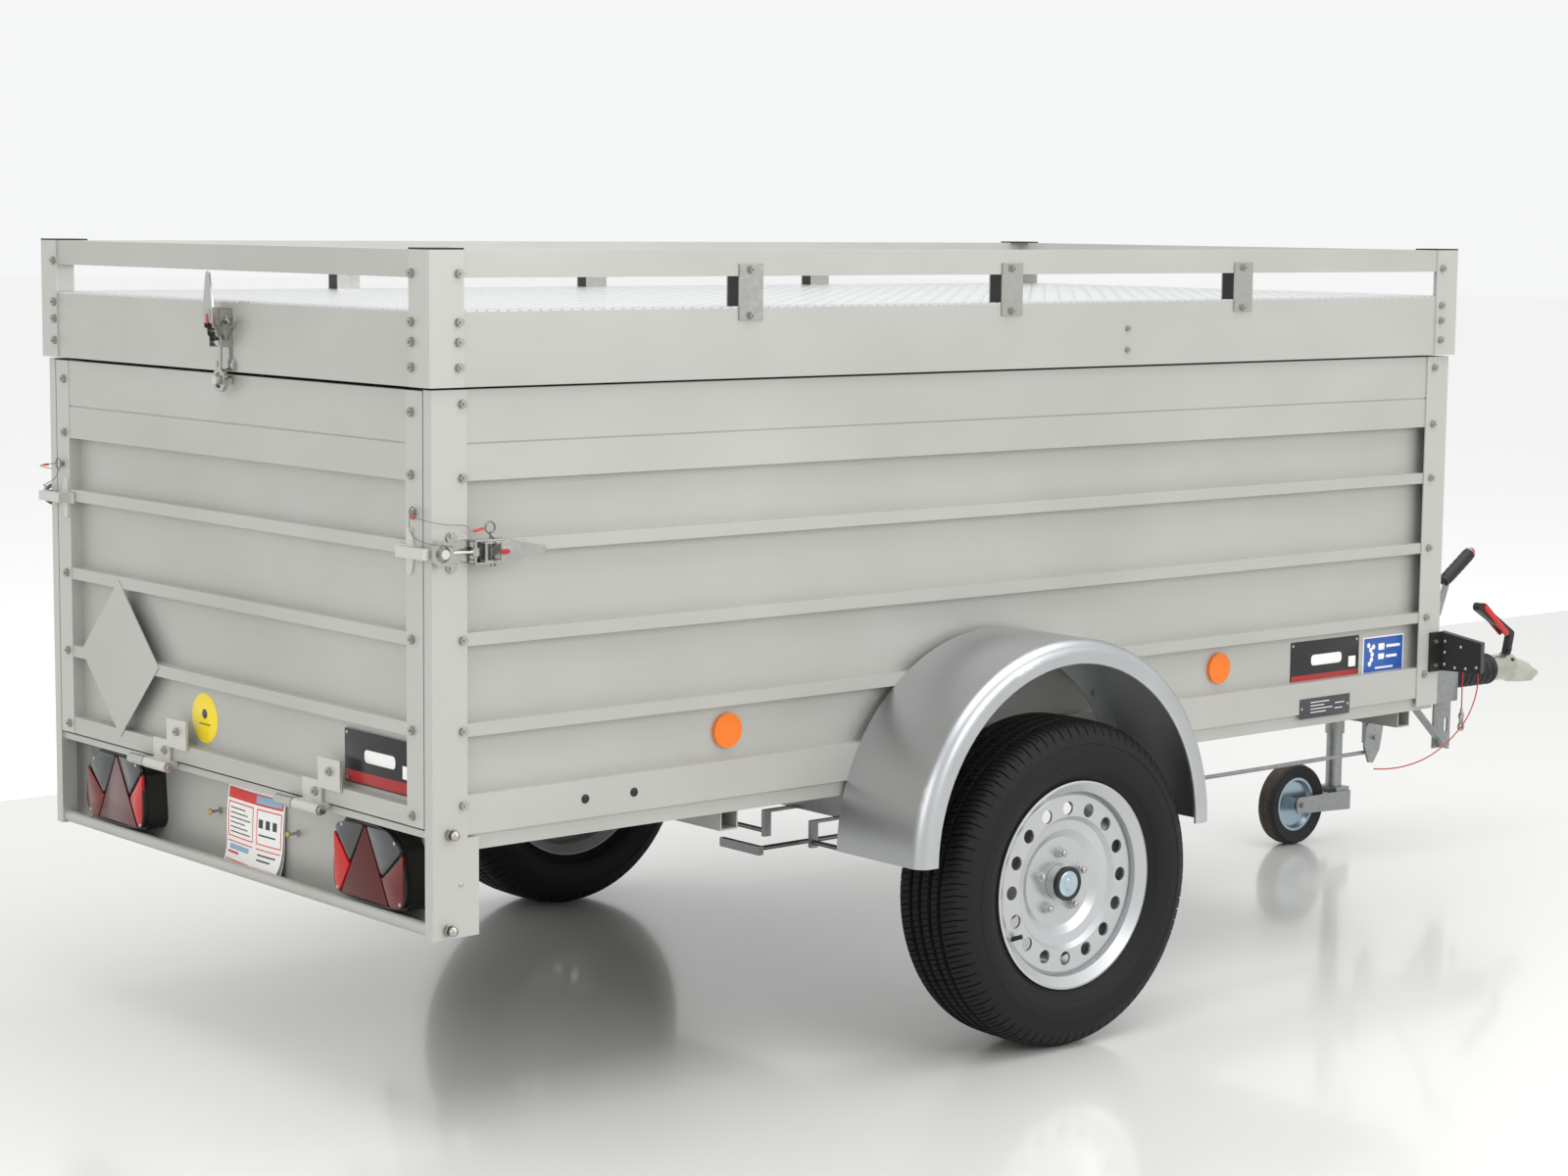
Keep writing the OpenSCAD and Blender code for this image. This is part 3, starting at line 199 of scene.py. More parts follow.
def tread_plate():
    """Rolled aluminium tread plate: bright sheet with raised bars that lie crosswise in pairs."""
    material, tree, shader = surface("aluminium_tread_plate", "#D4D6D7", 0.3, 0.85)
    axes = add(tree, "ShaderNodeSeparateXYZ", {"Vector": place(tree, (30, 30, 30))})
    x, y = axes.outputs["X"], axes.outputs["Y"]
    height = None
    for turn in (1.0, -1.0):
        across = maths(tree, "MULTIPLY", maths(tree, "ADD", x, maths(tree, "MULTIPLY", y, turn)), 0.7071)
        along = maths(tree, "MULTIPLY", maths(tree, "SUBTRACT", x, maths(tree, "MULTIPLY", y, turn)), 0.7071)
        u = maths(tree, "SUBTRACT", maths(tree, "FRACT", across), 0.5)
        v = maths(tree, "SUBTRACT", maths(tree, "FRACT", maths(tree, "ADD", along, 0.25 * turn)), 0.5)
        long = maths(tree, "POWER", maths(tree, "MULTIPLY", v, 4.2), 2.0)
        far = maths(tree, "SQRT", maths(tree, "ADD", maths(tree, "POWER", u, 2.0), long))
        bar = spread(tree, far, 1.0, 0.0, 0.28, 0.44)
        height = bar if height is None else maths(tree, "MAXIMUM", height, bar)
    bump(tree, shader, height, 1.4, 0.9)
    vary_roughness(tree, shader, height, 0.36, 0.2, 0, 1)
    return material


def galvanised(name, base, roughness, spangle_mm=9.0):
    """Hot-dip galvanised steel: grey zinc whose crystals give patches of slightly different grey."""
    material, tree, shader = surface(name, base, roughness, 0.85)
    cells = add(tree, "ShaderNodeTexVoronoi", {"Vector": place(tree, (spangle_mm,) * 3), "Scale": 1.0})
    tone = add(tree, "ShaderNodeSeparateColor", {"Color": cells.outputs["Color"]}).outputs[0]
    cloud = noise(tree, place(tree, (60, 60, 60)), 4)
    both = maths(tree, "ADD", maths(tree, "MULTIPLY", tone, 0.5), maths(tree, "MULTIPLY", cloud, 0.5))
    set_input(tree, shader, "Base Color",
              between(tree, spread(tree, both, 0, 1, 0.25, 0.8), darker(base, 0.8), colour(base)))
    vary_roughness(tree, shader, both, roughness - 0.06, roughness + 0.1, 0.25, 0.8)
    bump(tree, shader, cloud, 0.1, 0.3)
    return material


def spun_zinc():
    """Pressed mudguard steel with an even zinc coat: smooth silver with a soft, wide highlight."""
    material, tree, shader = surface("zinc_coated_pressed_steel", "#B9BBBD", 0.34, 0.9)
    streak = noise(tree, place(tree, (150, 700, 150)), 2)
    vary_roughness(tree, shader, streak, 0.31, 0.38, 0.2, 0.8)
    tint(tree, shader, streak, "#B4B6B8", "#C0C2C4", 0.2, 0.8)
    return material


def bright_zinc():
    """Electroplated zinc fasteners: small bright parts with a faint warm tint."""
    material, tree, shader = surface("bright_zinc_plate", "#B5B3AD", 0.24, 1.0)
    speck = noise(tree, place(tree, (3, 3, 3)), 3)
    vary_roughness(tree, shader, speck, 0.18, 0.34)
    return material


def pressed_stainless():
    """Pressed and tumbled stainless steel: bright, slightly wavy, with polished edges."""
    material, tree, shader = surface("pressed_stainless_steel", "#B9B8B4", 0.2, 1.0)
    wave = noise(tree, place(tree, (14, 14, 14)), 2)
    vary_roughness(tree, shader, wave, 0.14, 0.3)
    bump(tree, shader, wave, 0.15, 0.35)
    return material


def cast_aluminium():
    """Sand-cast and blasted aluminium hinges: pale with a fine pitted skin."""
    material, tree, shader = surface("cast_aluminium_blasted", "#CFCFC8", 0.46, 0.7)
    pits = noise(tree, place(tree, (1.4, 1.4, 1.4)), 3, 0.7)
    bump(tree, shader, pits, 0.12, 0.5)
    return material


def wheel_lacquer():
    """Pressed steel rim in silver lacquer: fine metal flake under a thin clear coat."""
    material, tree, shader = surface("silver_wheel_lacquer", "#BFC1C2", 0.34, 0.65,
                                     Coat_Weight=0.35, Coat_Roughness=0.12)
    flake = noise(tree, place(tree, (0.8, 0.8, 0.8)), 2, 0.7)
    tint(tree, shader, flake, "#B4B6B8", "#CBCDCE")
    return material


def tyre_rubber():
    """Cured tyre rubber, new and matt: near black, very slightly brown, with a faint skin."""
    material, tree, shader = surface("tyre_rubber_cured", "#121213", 0.6, 0.0, Specular_IOR_Level=0.32)
    skin = noise(tree, place(tree, (7, 7, 7)), 4)
    tint(tree, shader, skin, "#0D0D0E", "#161617")
    vary_roughness(tree, shader, skin, 0.55, 0.72)
    bump(tree, shader, skin, 0.12, 0.3)
    return material


def solid_rubber():
    """Solid rubber of the jockey wheel: black sides and a tread scuffed brown by the floor."""
    material, tree, shader = surface("solid_rubber_scuffed", "#1B1B1B", 0.7)
    low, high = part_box("jockey_wheel")
    middle = (low + high) / 2
    axes = add(tree, "ShaderNodeSeparateXYZ", {"Vector": add(tree, "ShaderNodeTexCoord").outputs["Object"]})
    across = maths(tree, "SUBTRACT", axes.outputs["X"], middle.x)
    rise = maths(tree, "SUBTRACT", axes.outputs["Z"], middle.z)
    squares = maths(tree, "ADD", maths(tree, "POWER", across, 2.0), maths(tree, "POWER", rise, 2.0))
    far = maths(tree, "SQRT", squares)
    worn = spread(tree, far, 0, 1, 96.5 * MM, 99.5 * MM)
    dust = maths(tree, "MULTIPLY", worn, spread(tree, noise(tree, place(tree, (16, 16, 16)), 4), 0.25, 1))
    rim = spread(tree, far, 1, 0, 65.4 * MM, 66.6 * MM)
    rubber = between(tree, dust, colour("#141414"), colour("#4A3E34"))
    set_input(tree, shader, "Base Color", between(tree, rim, rubber, colour("#A3B4C2")))
    vary_roughness(tree, shader, rim, 0.7, 0.3, 0, 1)
    set_input(tree, shader, "Metallic", maths(tree, "MULTIPLY", rim, 0.85))
    return material


def moulded_black(name="black_polypropylene_moulded", base="#141414", roughness=0.42):
    """Moulded black plastic: satin with a fine spark-eroded grain."""
    material, tree, shader = surface(name, base, roughness)
    grain = noise(tree, place(tree, (1.1, 1.1, 1.1)), 3)
    bump(tree, shader, grain, 0.08, 0.35)
    vary_roughness(tree, shader, grain, roughness - 0.06, roughness + 0.08)
    return material


def moulded_red():
    """Glass-filled nylon in signal red: satin, faint flow marks."""
    material, tree, shader = surface("red_nylon_moulded", "#C5231C", 0.38)
    flow = noise(tree, place(tree, (9, 9, 30)), 3)
    tint(tree, shader, flow, "#B41E18", "#D02A21")
    bump(tree, shader, noise(tree, place(tree, (1, 1, 1))), 0.06, 0.3)
    return material


def film_plywood():
    """Birch plywood with a dark phenolic film: brown with a fine wire-mesh print."""
    material, tree, shader = surface("phenolic_film_plywood", "#4A3527", 0.5)
    axes = add(tree, "ShaderNodeSeparateXYZ", {"Vector": place(tree, (4, 4, 4))})
    mesh = maths(tree, "MULTIPLY", maths(tree, "SINE", maths(tree, "MULTIPLY", axes.outputs["X"], 6.283)),
                 maths(tree, "SINE", maths(tree, "MULTIPLY", axes.outputs["Y"], 6.283)))
    bump(tree, shader, mesh, 0.3, 0.5)
    cloud = noise(tree, place(tree, (200, 200, 200)), 3)
    tint(tree, shader, cloud, "#3F2C20", "#57402F")
    return material


def bead_plastic(name, base, cell_mm=3.4, glow=0.0):
    """Clear-fronted reflector or lens plastic: saturated colour over a field of small prisms, and a glow if one
    is given, which on the reflectors is painted light.
    """
    material, tree, shader = surface(name, base, 0.22, 0.0, Coat_Weight=0.25, Coat_Roughness=0.06,
                                     Specular_IOR_Level=0.35)
    cells = add(tree, "ShaderNodeTexVoronoi", {"Vector": place(tree, (cell_mm,) * 3), "Scale": 1.0,
                                               "Randomness": 0.15})
    set_input(tree, shader, "Base Color",
              between(tree, spread(tree, cells.outputs["Distance"], 0, 1, 0.1, 0.6), colour(base),
                      darker(base, 0.72)))
    # Emission: on the reflectors this glow is painted light, on parts that are no lamps.
    if glow:
        shader.inputs["Emission Color"].default_value = colour(base)
        shader.inputs["Emission Strength"].default_value = glow
    bump(tree, shader, cells.outputs["Distance"], 0.25, 0.4)
    return material


def zinc_yellowed():
    """Zinc-plated pressed steel of the coupling: bright grey with a faint straw passivation."""
    return galvanised("passivated_zinc_plate", "#C4C5BA", 0.28, 60.0)


def drawn_wire(name, base, roughness, lay_mm=0.0):
    """Drawn steel wire: fine marks that break up the highlight; a lay gives the twist of a rope's strands."""
    material, tree, shader = surface(name, base, roughness, 1.0)
    marks = noise(tree, place(tree, (0.6, 0.6, 0.6)), 2)
    vary_roughness(tree, shader, marks, roughness - 0.08, roughness + 0.14)
    if lay_mm:
        axes = add(tree, "ShaderNodeSeparateXYZ", {"Vector": place(tree, (lay_mm,) * 3)})
        along = maths(tree, "ADD", axes.outputs["X"], maths(tree, "ADD", axes.outputs["Y"], axes.outputs["Z"]))
        twist = maths(tree, "SINE", maths(tree, "MULTIPLY", along, 6.283))
        bump(tree, shader, twist, 0.15, 0.6)
    set_input(tree, shader, "Base Color",
              between(tree, spread(tree, marks, 0, 1), colour(base), darker(base, 0.8)))
    return material


def yellow_zinc():
    """Yellow-passivated zinc on the screws: straw gold that turns greenish in clouds a few millimetres wide."""
    material, tree, shader = surface("yellow_passivated_zinc", "#C7A64A", 0.3, 0.9)
    cloud = noise(tree, place(tree, (4, 4, 4)), 3)
    tint(tree, shader, cloud, "#C9A548", "#B5A85A")
    vary_roughness(tree, shader, cloud, 0.24, 0.4)
    return material


def painted(name, base):
    """Stoved enamel: even gloss with slight orange peel."""
    material, tree, shader = surface(name, base, 0.3, 0.0, Coat_Weight=0.5, Coat_Roughness=0.1)
    bump(tree, shader, noise(tree, place(tree, (5, 5, 5)), 2), 0.1, 0.25)
    return material


def vinyl_print(name, base, gloss=0.3):
    """Printed vinyl film: an even colour with a slight sheen and a very faint print grain."""
    material, tree, shader = surface(name, base, gloss)
    grain = noise(tree, place(tree, (2, 2, 2)), 2)
    light = [min(1.0, c * 1.12 + 0.004) for c in colour(base)[:3]] + [1.0]
    set_input(tree, shader, "Base Color", between(tree, spread(tree, grain, 0, 1), colour(base), light))
    return material


# ---- shapes ----

def grid_faces(rows, columns, wrap_rows=False, wrap_columns=False):
    """Quads of a grid of rows by columns points, counted row by row, closed where asked."""
    i = np.arange(rows if wrap_rows else rows - 1)
    j = np.arange(columns if wrap_columns else columns - 1)
    a, b = np.meshgrid(i, j, indexing="ij")
    a2, b2 = (a + 1) % rows, (b + 1) % columns
    near, next_row = a * columns, a2 * columns
    return np.stack([near + b, next_row + b, next_row + b2, near + b2], -1).reshape(-1, 4)


def joined(parts):
    """One list of vertices and faces from several."""
    verts, faces, start = [], [], 0
    for v, f in parts:
        verts.append(np.asarray(v, float))
        faces += [[int(i) + start for i in face] for face in f]
        start += len(v)
    return np.concatenate(verts), faces


def piece(name, parts, body, material, angle=40):
    """A mesh object made of one or more (vertices, faces), with its finish, riding on a body."""
    verts, faces = joined(parts if isinstance(parts, list) else [parts])
    mesh = bpy.data.meshes.new(name)
    mesh.from_pydata(verts.tolist(), [], faces)
    mesh.validate()
    mesh.materials.append(material)
    thing = bpy.data.objects.new(name, mesh)
    bpy.context.scene.collection.objects.link(thing)
    mesh.polygons.foreach_set("use_smooth", np.ones(len(mesh.polygons), bool))
    mesh.set_sharp_from_angle(angle=math.radians(angle))
    mesh.update()
    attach(thing, body)
    return thing


def basis(direction):
    """Two unit vectors across a direction."""
    d = np.asarray(direction, float)
    d = d / np.linalg.norm(d)
    side = np.cross(d, (0, 0, 1) if abs(d[2]) < 0.9 else (0, 1, 0))
    side /= np.linalg.norm(side)
    return side, np.cross(side, d), d


def smooth_path(points, steps=8):
    """Points along a Catmull-Rom curve: each stretch is the cubic through its ends with its neighbours'
    slopes."""
    p = np.asarray(points, float)
    p = np.concatenate([p[:1], p, p[-1:]])
    t = np.arange(steps)[:, None] / steps
    out = []
    for a, b, c, d in zip(p, p[1:], p[2:], p[3:]):
        square, cube = 2 * a - 5 * b + 4 * c - d, 3 * b - a - 3 * c + d
        out.append(0.5 * (2 * b + (c - a) * t + square * t**2 + cube * t**3))
    return np.concatenate(out + [p[-1:]])


def tube(path, radius, sides=10, closed=False):
    """A round bar: a circle carried along a path, its radius a number or one for each point."""
    path = np.asarray(path, float)
    n = len(path)
    ahead = np.roll(path, -1, 0) - np.roll(path, 1, 0)
    if not closed:
        ahead[0], ahead[-1] = path[1] - path[0], path[-1] - path[-2]
    ahead /= np.linalg.norm(ahead, axis=1)[:, None]
    side = np.empty_like(ahead)
    side[0] = basis(ahead[0])[0]
    for i in range(1, n):
        s = side[i - 1] - ahead[i] * (side[i - 1] @ ahead[i])
        side[i] = s / np.linalg.norm(s)
    up = np.cross(ahead, side)
    turn = np.linspace(0, 2 * np.pi, sides, endpoint=False)
    r = np.broadcast_to(np.asarray(radius, float), (n,))[:, None, None]
    ring = np.cos(turn)[None, :, None] * side[:, None] + np.sin(turn)[None, :, None] * up[:, None]
    verts = (path[:, None] + r * ring).reshape(-1, 3)
    faces = [list(f[::-1]) for f in grid_faces(n, sides, closed, True)]
    if not closed:
        faces += [list(range(sides)), [(n - 1) * sides + k for k in range(sides)][::-1]]
    return verts, faces


def lathe(profile, centre, axis, segments=48):
    """A turned solid: (distance along the axis, radius) carried round it, with both ends closed."""
    side, up, ahead = basis(axis)
    profile = np.asarray(profile, float)
    turn = np.linspace(0, 2 * np.pi, segments, endpoint=False)
    ring = np.cos(turn)[:, None] * side + np.sin(turn)[:, None] * up
    along, radius = profile[:, 0, None, None], profile[:, 1, None, None]
    verts = np.asarray(centre, float) + along * ahead + radius * ring
    n = len(profile)
    faces = [list(f[::-1]) for f in grid_faces(n, segments, False, True)]
    faces += [list(range(segments)), [(n - 1) * segments + k for k in range(segments)][::-1]]
    return verts.reshape(-1, 3), faces


def rounded(width, height, radius, per_corner=6):
    """A rectangle's outline with quarter-circle corners, centred, counter-clockwise."""
    turn = np.linspace(0, np.pi / 2, per_corner)
    out = []
    for k, (sx, sy) in enumerate(((1, 1), (-1, 1), (-1, -1), (1, -1))):
        middle = np.array([sx * (width / 2 - radius), sy * (height / 2 - radius)])
        a = turn + k * np.pi / 2
        out.append(middle + radius * np.stack([np.cos(a), np.sin(a)], -1))
    return np.concatenate(out)


def slab(outline, thickness, edge, origin, right, up, steps=3):
    """A plate that stands up from its outline. Its front edge is a quarter round of the given radius: the
    outline is drawn in towards its middle as the round turns from the side to the face."""
    outline = np.asarray(outline, float)
    middle = outline.mean(0)
    right, up = np.asarray(right, float), np.asarray(up, float)
    out = np.cross(right, up)
    turn = np.linspace(0, np.pi / 2, steps + 1)
    reach = np.linalg.norm(outline - middle, axis=1)[:, None]
    rings = [(outline, 0.0)]
    for a in turn:
        drawn = middle + (outline - middle) * (1 - edge * (1 - math.cos(a)) / reach)
        rings.append((drawn, thickness - edge + edge * math.sin(a)))
    n = len(outline)
    verts = [np.asarray(origin, float) + r[:, :1] * right + r[:, 1:] * up + h * out for r, h in rings]
    verts = np.concatenate(verts)
    faces = [list(f[::-1]) for f in grid_faces(len(rings), n, False, True)]
    faces += [list(range(n))[::-1], [(len(rings) - 1) * n + k for k in range(n)]]
    return verts, faces


def frame_axes(face):
    """Right and up of a plate that faces backwards or to the right side."""
    return {"rear": ((0, -1, 0), (0, 0, 1)), "right": ((1, 0, 0), (0, 0, 1))}[face]


# ---- sizes that a user would change ----

class TrailerStage(bpy.types.PropertyGroup):
    lens: FloatProperty(name="Lens", description="Focal length", default=71.96, min=20, max=200)
    floor: StringProperty(name="Floor", description="Floor colour as sRGB hex", default="#DADAD6")
    key: FloatProperty(name="Key light", description="Strength of the soft box", default=190, min=0)
    sky: FloatProperty(name="Surround", description="Strength of the pale surround", default=0.95, min=0)


class TrailerTyres(bpy.types.PropertyGroup):
    pitches: IntProperty(name="Tread pitches", description="Blocks round the tread", default=84,
                         min=20, max=120)
    groove: FloatProperty(name="Groove", description="Width of a main groove", default=0.009, unit="LENGTH")
    depth: FloatProperty(name="Tread depth", description="Depth of the grooves", default=0.007, unit="LENGTH")


class TrailerFittings(bpy.types.PropertyGroup):
    wire: FloatProperty(name="Clip wire", description="Radius of a spring clip's wire", default=0.0016,
                        unit="LENGTH")
    lanyard: FloatProperty(name="Lanyard", description="Radius of a lanyard", default=0.0008, unit="LENGTH")
    cable: FloatProperty(name="Breakaway cable", description="Radius of the red cable", default=0.0016,
                         unit="LENGTH")


class TrailerLamps(bpy.types.PropertyGroup):
    red: StringProperty(name="Lamp red", description="Red of the stop and tail windows", default="#5A0B0C")
    bright: StringProperty(name="Reflector red", description="Red of the triangle by the plate",
                           default="#C8180F")
    smoke: StringProperty(name="Clear windows", description="Colour of the clear windows",
                          default="#4E5052")


def props():
    """The scene's values for the stage, tyres, fittings and lamps."""
    scene = bpy.context.scene
    return scene.trailer_stage, scene.trailer_tyres, scene.trailer_fittings, scene.trailer_lamps


# ---- operators ----

def operator(label):
    """The identifier of the operator with this label."""
    return "trailer." + label.lower().replace(" ", "_").replace("-", "_")


class BuildStage(bpy.types.Operator):
    """Camera, pale floor with a whiter apron, and soft light."""
    bl_idname = operator("Build stage")
    bl_label = "Stage"

    def execute(self, context):
        stage = props()[0]
        scene = context.scene
        data = bpy.data.cameras.new("camera")
        data.lens, data.sensor_width, data.clip_end = stage.lens, 36, 100
        camera = bpy.data.objects.new("camera", data)
        scene.collection.objects.link(camera)
        yaw, pitch, roll = (math.radians(a) for a in (CAMERA_YAW, CAMERA_PITCH, CAMERA_ROLL))
        ahead = Vector((math.sin(yaw) * math.cos(pitch), math.cos(yaw) * math.cos(pitch), -math.sin(pitch)))
        right = Vector((math.cos(yaw), -math.sin(yaw), 0))
        top = right.cross(ahead)
        right, top = (math.cos(roll) * right + math.sin(roll) * top,
                      -math.sin(roll) * right + math.cos(roll) * top)
        turn = Matrix((right, top, -ahead)).transposed().to_4x4()
        camera.matrix_world = Matrix.Translation(CAMERA_AT) @ turn
        scene.camera = camera

        pale, tree, shader = surface("lacquered_floor", stage.floor, 0.22, 0.0,
                                     Coat_Weight=0.4, Coat_Roughness=0.08)
        cloud = noise(tree, place(tree, (900, 900, 900)), 2)
        vary_roughness(tree, shader, cloud, 0.2, 0.26, 0, 1)
        beyond = surface("matt_white_apron", "#FBFBFA", 0.9)[0]
        # A flat floor with a whiter apron past its edge. There is no wall, so every side can be seen.
        depths, widths = (-40.0, FLOOR_EDGE, 60.0), (-50.0, 50.0)
        verts = [(x, y, 0.0) for x in widths for y in depths]
        mesh = bpy.data.meshes.new("floor")
        mesh.from_pydata(verts, [], grid_faces(len(widths), len(depths)).tolist())
        mesh.materials.append(pale)
        mesh.materials.append(beyond)
        for face in mesh.polygons:
            face.material_index = int(face.center.y > FLOOR_EDGE)
        floor = bpy.data.objects.new("floor", mesh)
        scene.collection.objects.link(floor)

        def softbox(name, at, aim, size, power):
            light = bpy.data.lights.new(name, "AREA")
            light.shape, light.size, light.size_y, light.energy = "RECTANGLE", size[0], size[1], power
            lamp = bpy.data.objects.new(name, light)
            lamp.location = at
            lamp.rotation_euler = (Vector(aim) - Vector(at)).to_track_quat("-Z", "Y").to_euler()
            scene.collection.objects.link(lamp)

        softbox("overhead_box", (-0.3, -1.0, 5.2), (-0.3, 0, 0), (6.5, 4.5), stage.key)
        softbox("side_box", (0.8, -6.5, 3.4), (-0.3, 0, 0.7), (5.0, 2.6), stage.key * 0.62)
        softbox("rear_box", (-6.5, -1.8, 2.8), (-1.6, 0, 0.8), (3.4, 2.4), stage.key * 0.26)
        world = bpy.data.worlds.new("pale_surround")
        world.use_nodes = True
        background = world.node_tree.nodes["Background"]
        background.inputs["Color"].default_value = colour("#FBFCFC")
        background.inputs["Strength"].default_value = stage.sky
        scene.world = world
        scene.view_settings.view_transform = "Standard"
        return {"FINISHED"}


class BuildCable(bpy.types.Operator):
    """The red breakaway cable, from below the handbrake round the front of the drawbar to its hook."""
    bl_idname = operator("Build cable")
    bl_label = "Breakaway cable"

    def execute(self, context):
        radius = props()[2].cable
        # Points of the route in millimetres: X from the lid's front edge, Y from the middle, Z from the floor.
        route = [(519, -62, 216), (560, -66, 212), (620, -70, 212), (690, -74, 222), (750, -74, 240),
                 (810, -72, 268), (860, -68, 300), (895, -63, 336), (918, -58, 376), (926, -52, 416),
                 (920, -48, 452), (905, -46, 470), (886, -46, 462), (874, -48, 436), (868, -50, 400),
                 (866, -52, 364), (866, -52, 330)]
        path = smooth_path([(FRONT + x * MM, y * MM, z * MM) for x, y, z in route], 4)
        coat = vinyl_print("red_cable_coat", "#B02A20", 0.4)
        cable = piece("breakaway_cable_skin", tube(path, radius, 10), "body", coat)
        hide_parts("breakaway_cable")
        return {"FINISHED"}


def finish_nodes(material, *names):
    """Gives CAD nodes a material."""
    for name in names:
        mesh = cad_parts[name].data
        if not mesh.materials:
            mesh.materials.append(material)
        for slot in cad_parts[name].material_slots:
            slot.material = material


class FinishFrame(bpy.types.Operator):
    """Materials of the body, lid, tailgate, running gear and drawbar."""
    bl_idname = operator("Finish frame")
    bl_label = "Frame finishes"

    def execute(self, context):
        sheet, post = anodised_sheet(), post_sheet()
        finish_nodes(sheet, "right_wall", "left_wall", "front_wall", "chassis_frame", "lid_skirts",
                     "lid_rails", "tailgate_panel", "light_carrier", "gate_plates")
        finish_nodes(post, "corner_posts", "lid_posts", "tailgate_stiles")
        finish_nodes(tread_plate(), "lid_deck")
        finish_nodes(film_plywood(), "floor_panel")
        finish_nodes(moulded_black(), "lamp_housings", "lid_caps")
        # The orange side reflectors glow at 0.15: painted light, since they are no lamps.
        finish_nodes(bead_plastic("orange_reflector", "#F37A12", 2.8, 0.15), "side_reflectors")
        finish_nodes(bright_zinc(), "post_fasteners", "lid_fasteners", "gate_fasteners", "cable_hook",
                     "left_spring_rod", "right_spring_rod")
        finish_nodes(galvanised("galvanised_steel", "#A4A7A6", 0.4), "axle_beam", "drawbar",
                     "overrun_housing", "jockey_clamp", "jockey_stem", "jockey_tube", "jockey_fork",
                     "jockey_crank", "brake_rod", "handbrake_lever", "drawtube", "left_arm", "right_arm")
        finish_nodes(zinc_yellowed(), "coupling_head")
        finish_nodes(spun_zinc(), "mudguards")
        finish_nodes(moulded_black("chloroprene_bellows", "#151515", 0.55), "bellows")
        finish_nodes(pressed_stainless(), "latch_bases", "right_latch_lever", "left_latch_lever",
                     "lid_latch_lever", "right_latch_bolt", "left_latch_bolt", "lid_latch_bolt",
                     "lid_brackets", "body_hinges")
        finish_nodes(cast_aluminium(), "gate_brackets")
        finish_nodes(painted("black_enamel", "#121212"), "left_spring_tube", "right_spring_tube",
                     "clamp_lever")
        finish_nodes(wheel_lacquer(), "right_rim", "left_rim")
        finish_nodes(solid_rubber(), "jockey_wheel")
        finish_nodes(moulded_black("black_nylon_arm", "#131313", 0.4), "coupling_handle")
        finish_nodes(tyre_rubber(), "right_tyre", "left_tyre")
        finish_nodes(bead_plastic("lamp_lens", "#8E1414"), "lamp_lenses")
        return {"FINISHED"}


def mirrored(part):
    """The same shape on the other side of the middle plane, with its faces turned to point outwards."""
    verts, faces = part
    return np.asarray(verts) * (1, -1, 1), [list(face)[::-1] for face in faces]


# The right side's shapes as drawn, and the left side's as their mirror image.
SIDES = (("right", lambda part: part), ("left", mirrored))


def nipped(outline, cut):
    """Rounds a closed outline by a fixed cut: each corner gives way to two points that lie the cut's length
    along its sides and one between them and the corner."""
    p = np.asarray(outline, float)
    before, after = np.roll(p, 1, 0) - p, np.roll(p, -1, 0) - p
    for side in (before, after):
        length = np.linalg.norm(side, axis=1)[:, None]
        side *= np.minimum(cut, 0.45 * length) / length
    return np.stack([p + before, p + (before + after) * 0.22, p + after], 1).reshape(-1, 2)


def chaikin(outline, rounds):
    """Rounds a closed outline: each corner is cut between a quarter and three quarters of its two sides."""
    p = np.asarray(outline, float)
    for _ in range(rounds):
        after = np.roll(p, -1, 0)
        p = np.stack([p * 0.75 + after * 0.25, p * 0.25 + after * 0.75], 1).reshape(-1, 2)
    return p


def plate(face, outline_mm, at_mm, thickness_mm, edge_mm=0.4):
    """A thin plate on a face of the trailer. The outline is in millimetres from the given point."""
    right, up = frame_axes(face)
    outline, at = np.asarray(outline_mm, float) * MM, np.asarray(at_mm, float) * MM
    return slab(outline, thickness_mm * MM, edge_mm * MM, at, right, up, 2)


def oblong(low, high, radius=3.0):
    """A rounded rectangle's outline from its low and high corners."""
    low, high = np.asarray(low, float), np.asarray(high, float)
    return rounded(*(high - low), min(radius, *(high - low) / 2.01)) + (low + high) / 2


def disc(radius, at=(0, 0), count=24):
    """A circle's outline."""
    turn = np.linspace(0, 2 * np.pi, count, endpoint=False)
    return np.stack([at[0] + radius * np.cos(turn), at[1] + radius * np.sin(turn)], -1)


def dome(at_mm, axis, radius, height, neck=0.0):
    """A round head: a quarter ellipse turned round its axis, on a short neck."""
    a = np.linspace(0, np.pi / 2, 7)
    rise = neck + height * np.sin(a)
    profile = [(0.0, 0.0), (0.0, radius)] + list(zip(rise, radius * np.cos(a) + 0.02))
    return lathe(np.array(profile) * MM, np.array(at_mm) * MM, axis, 24)


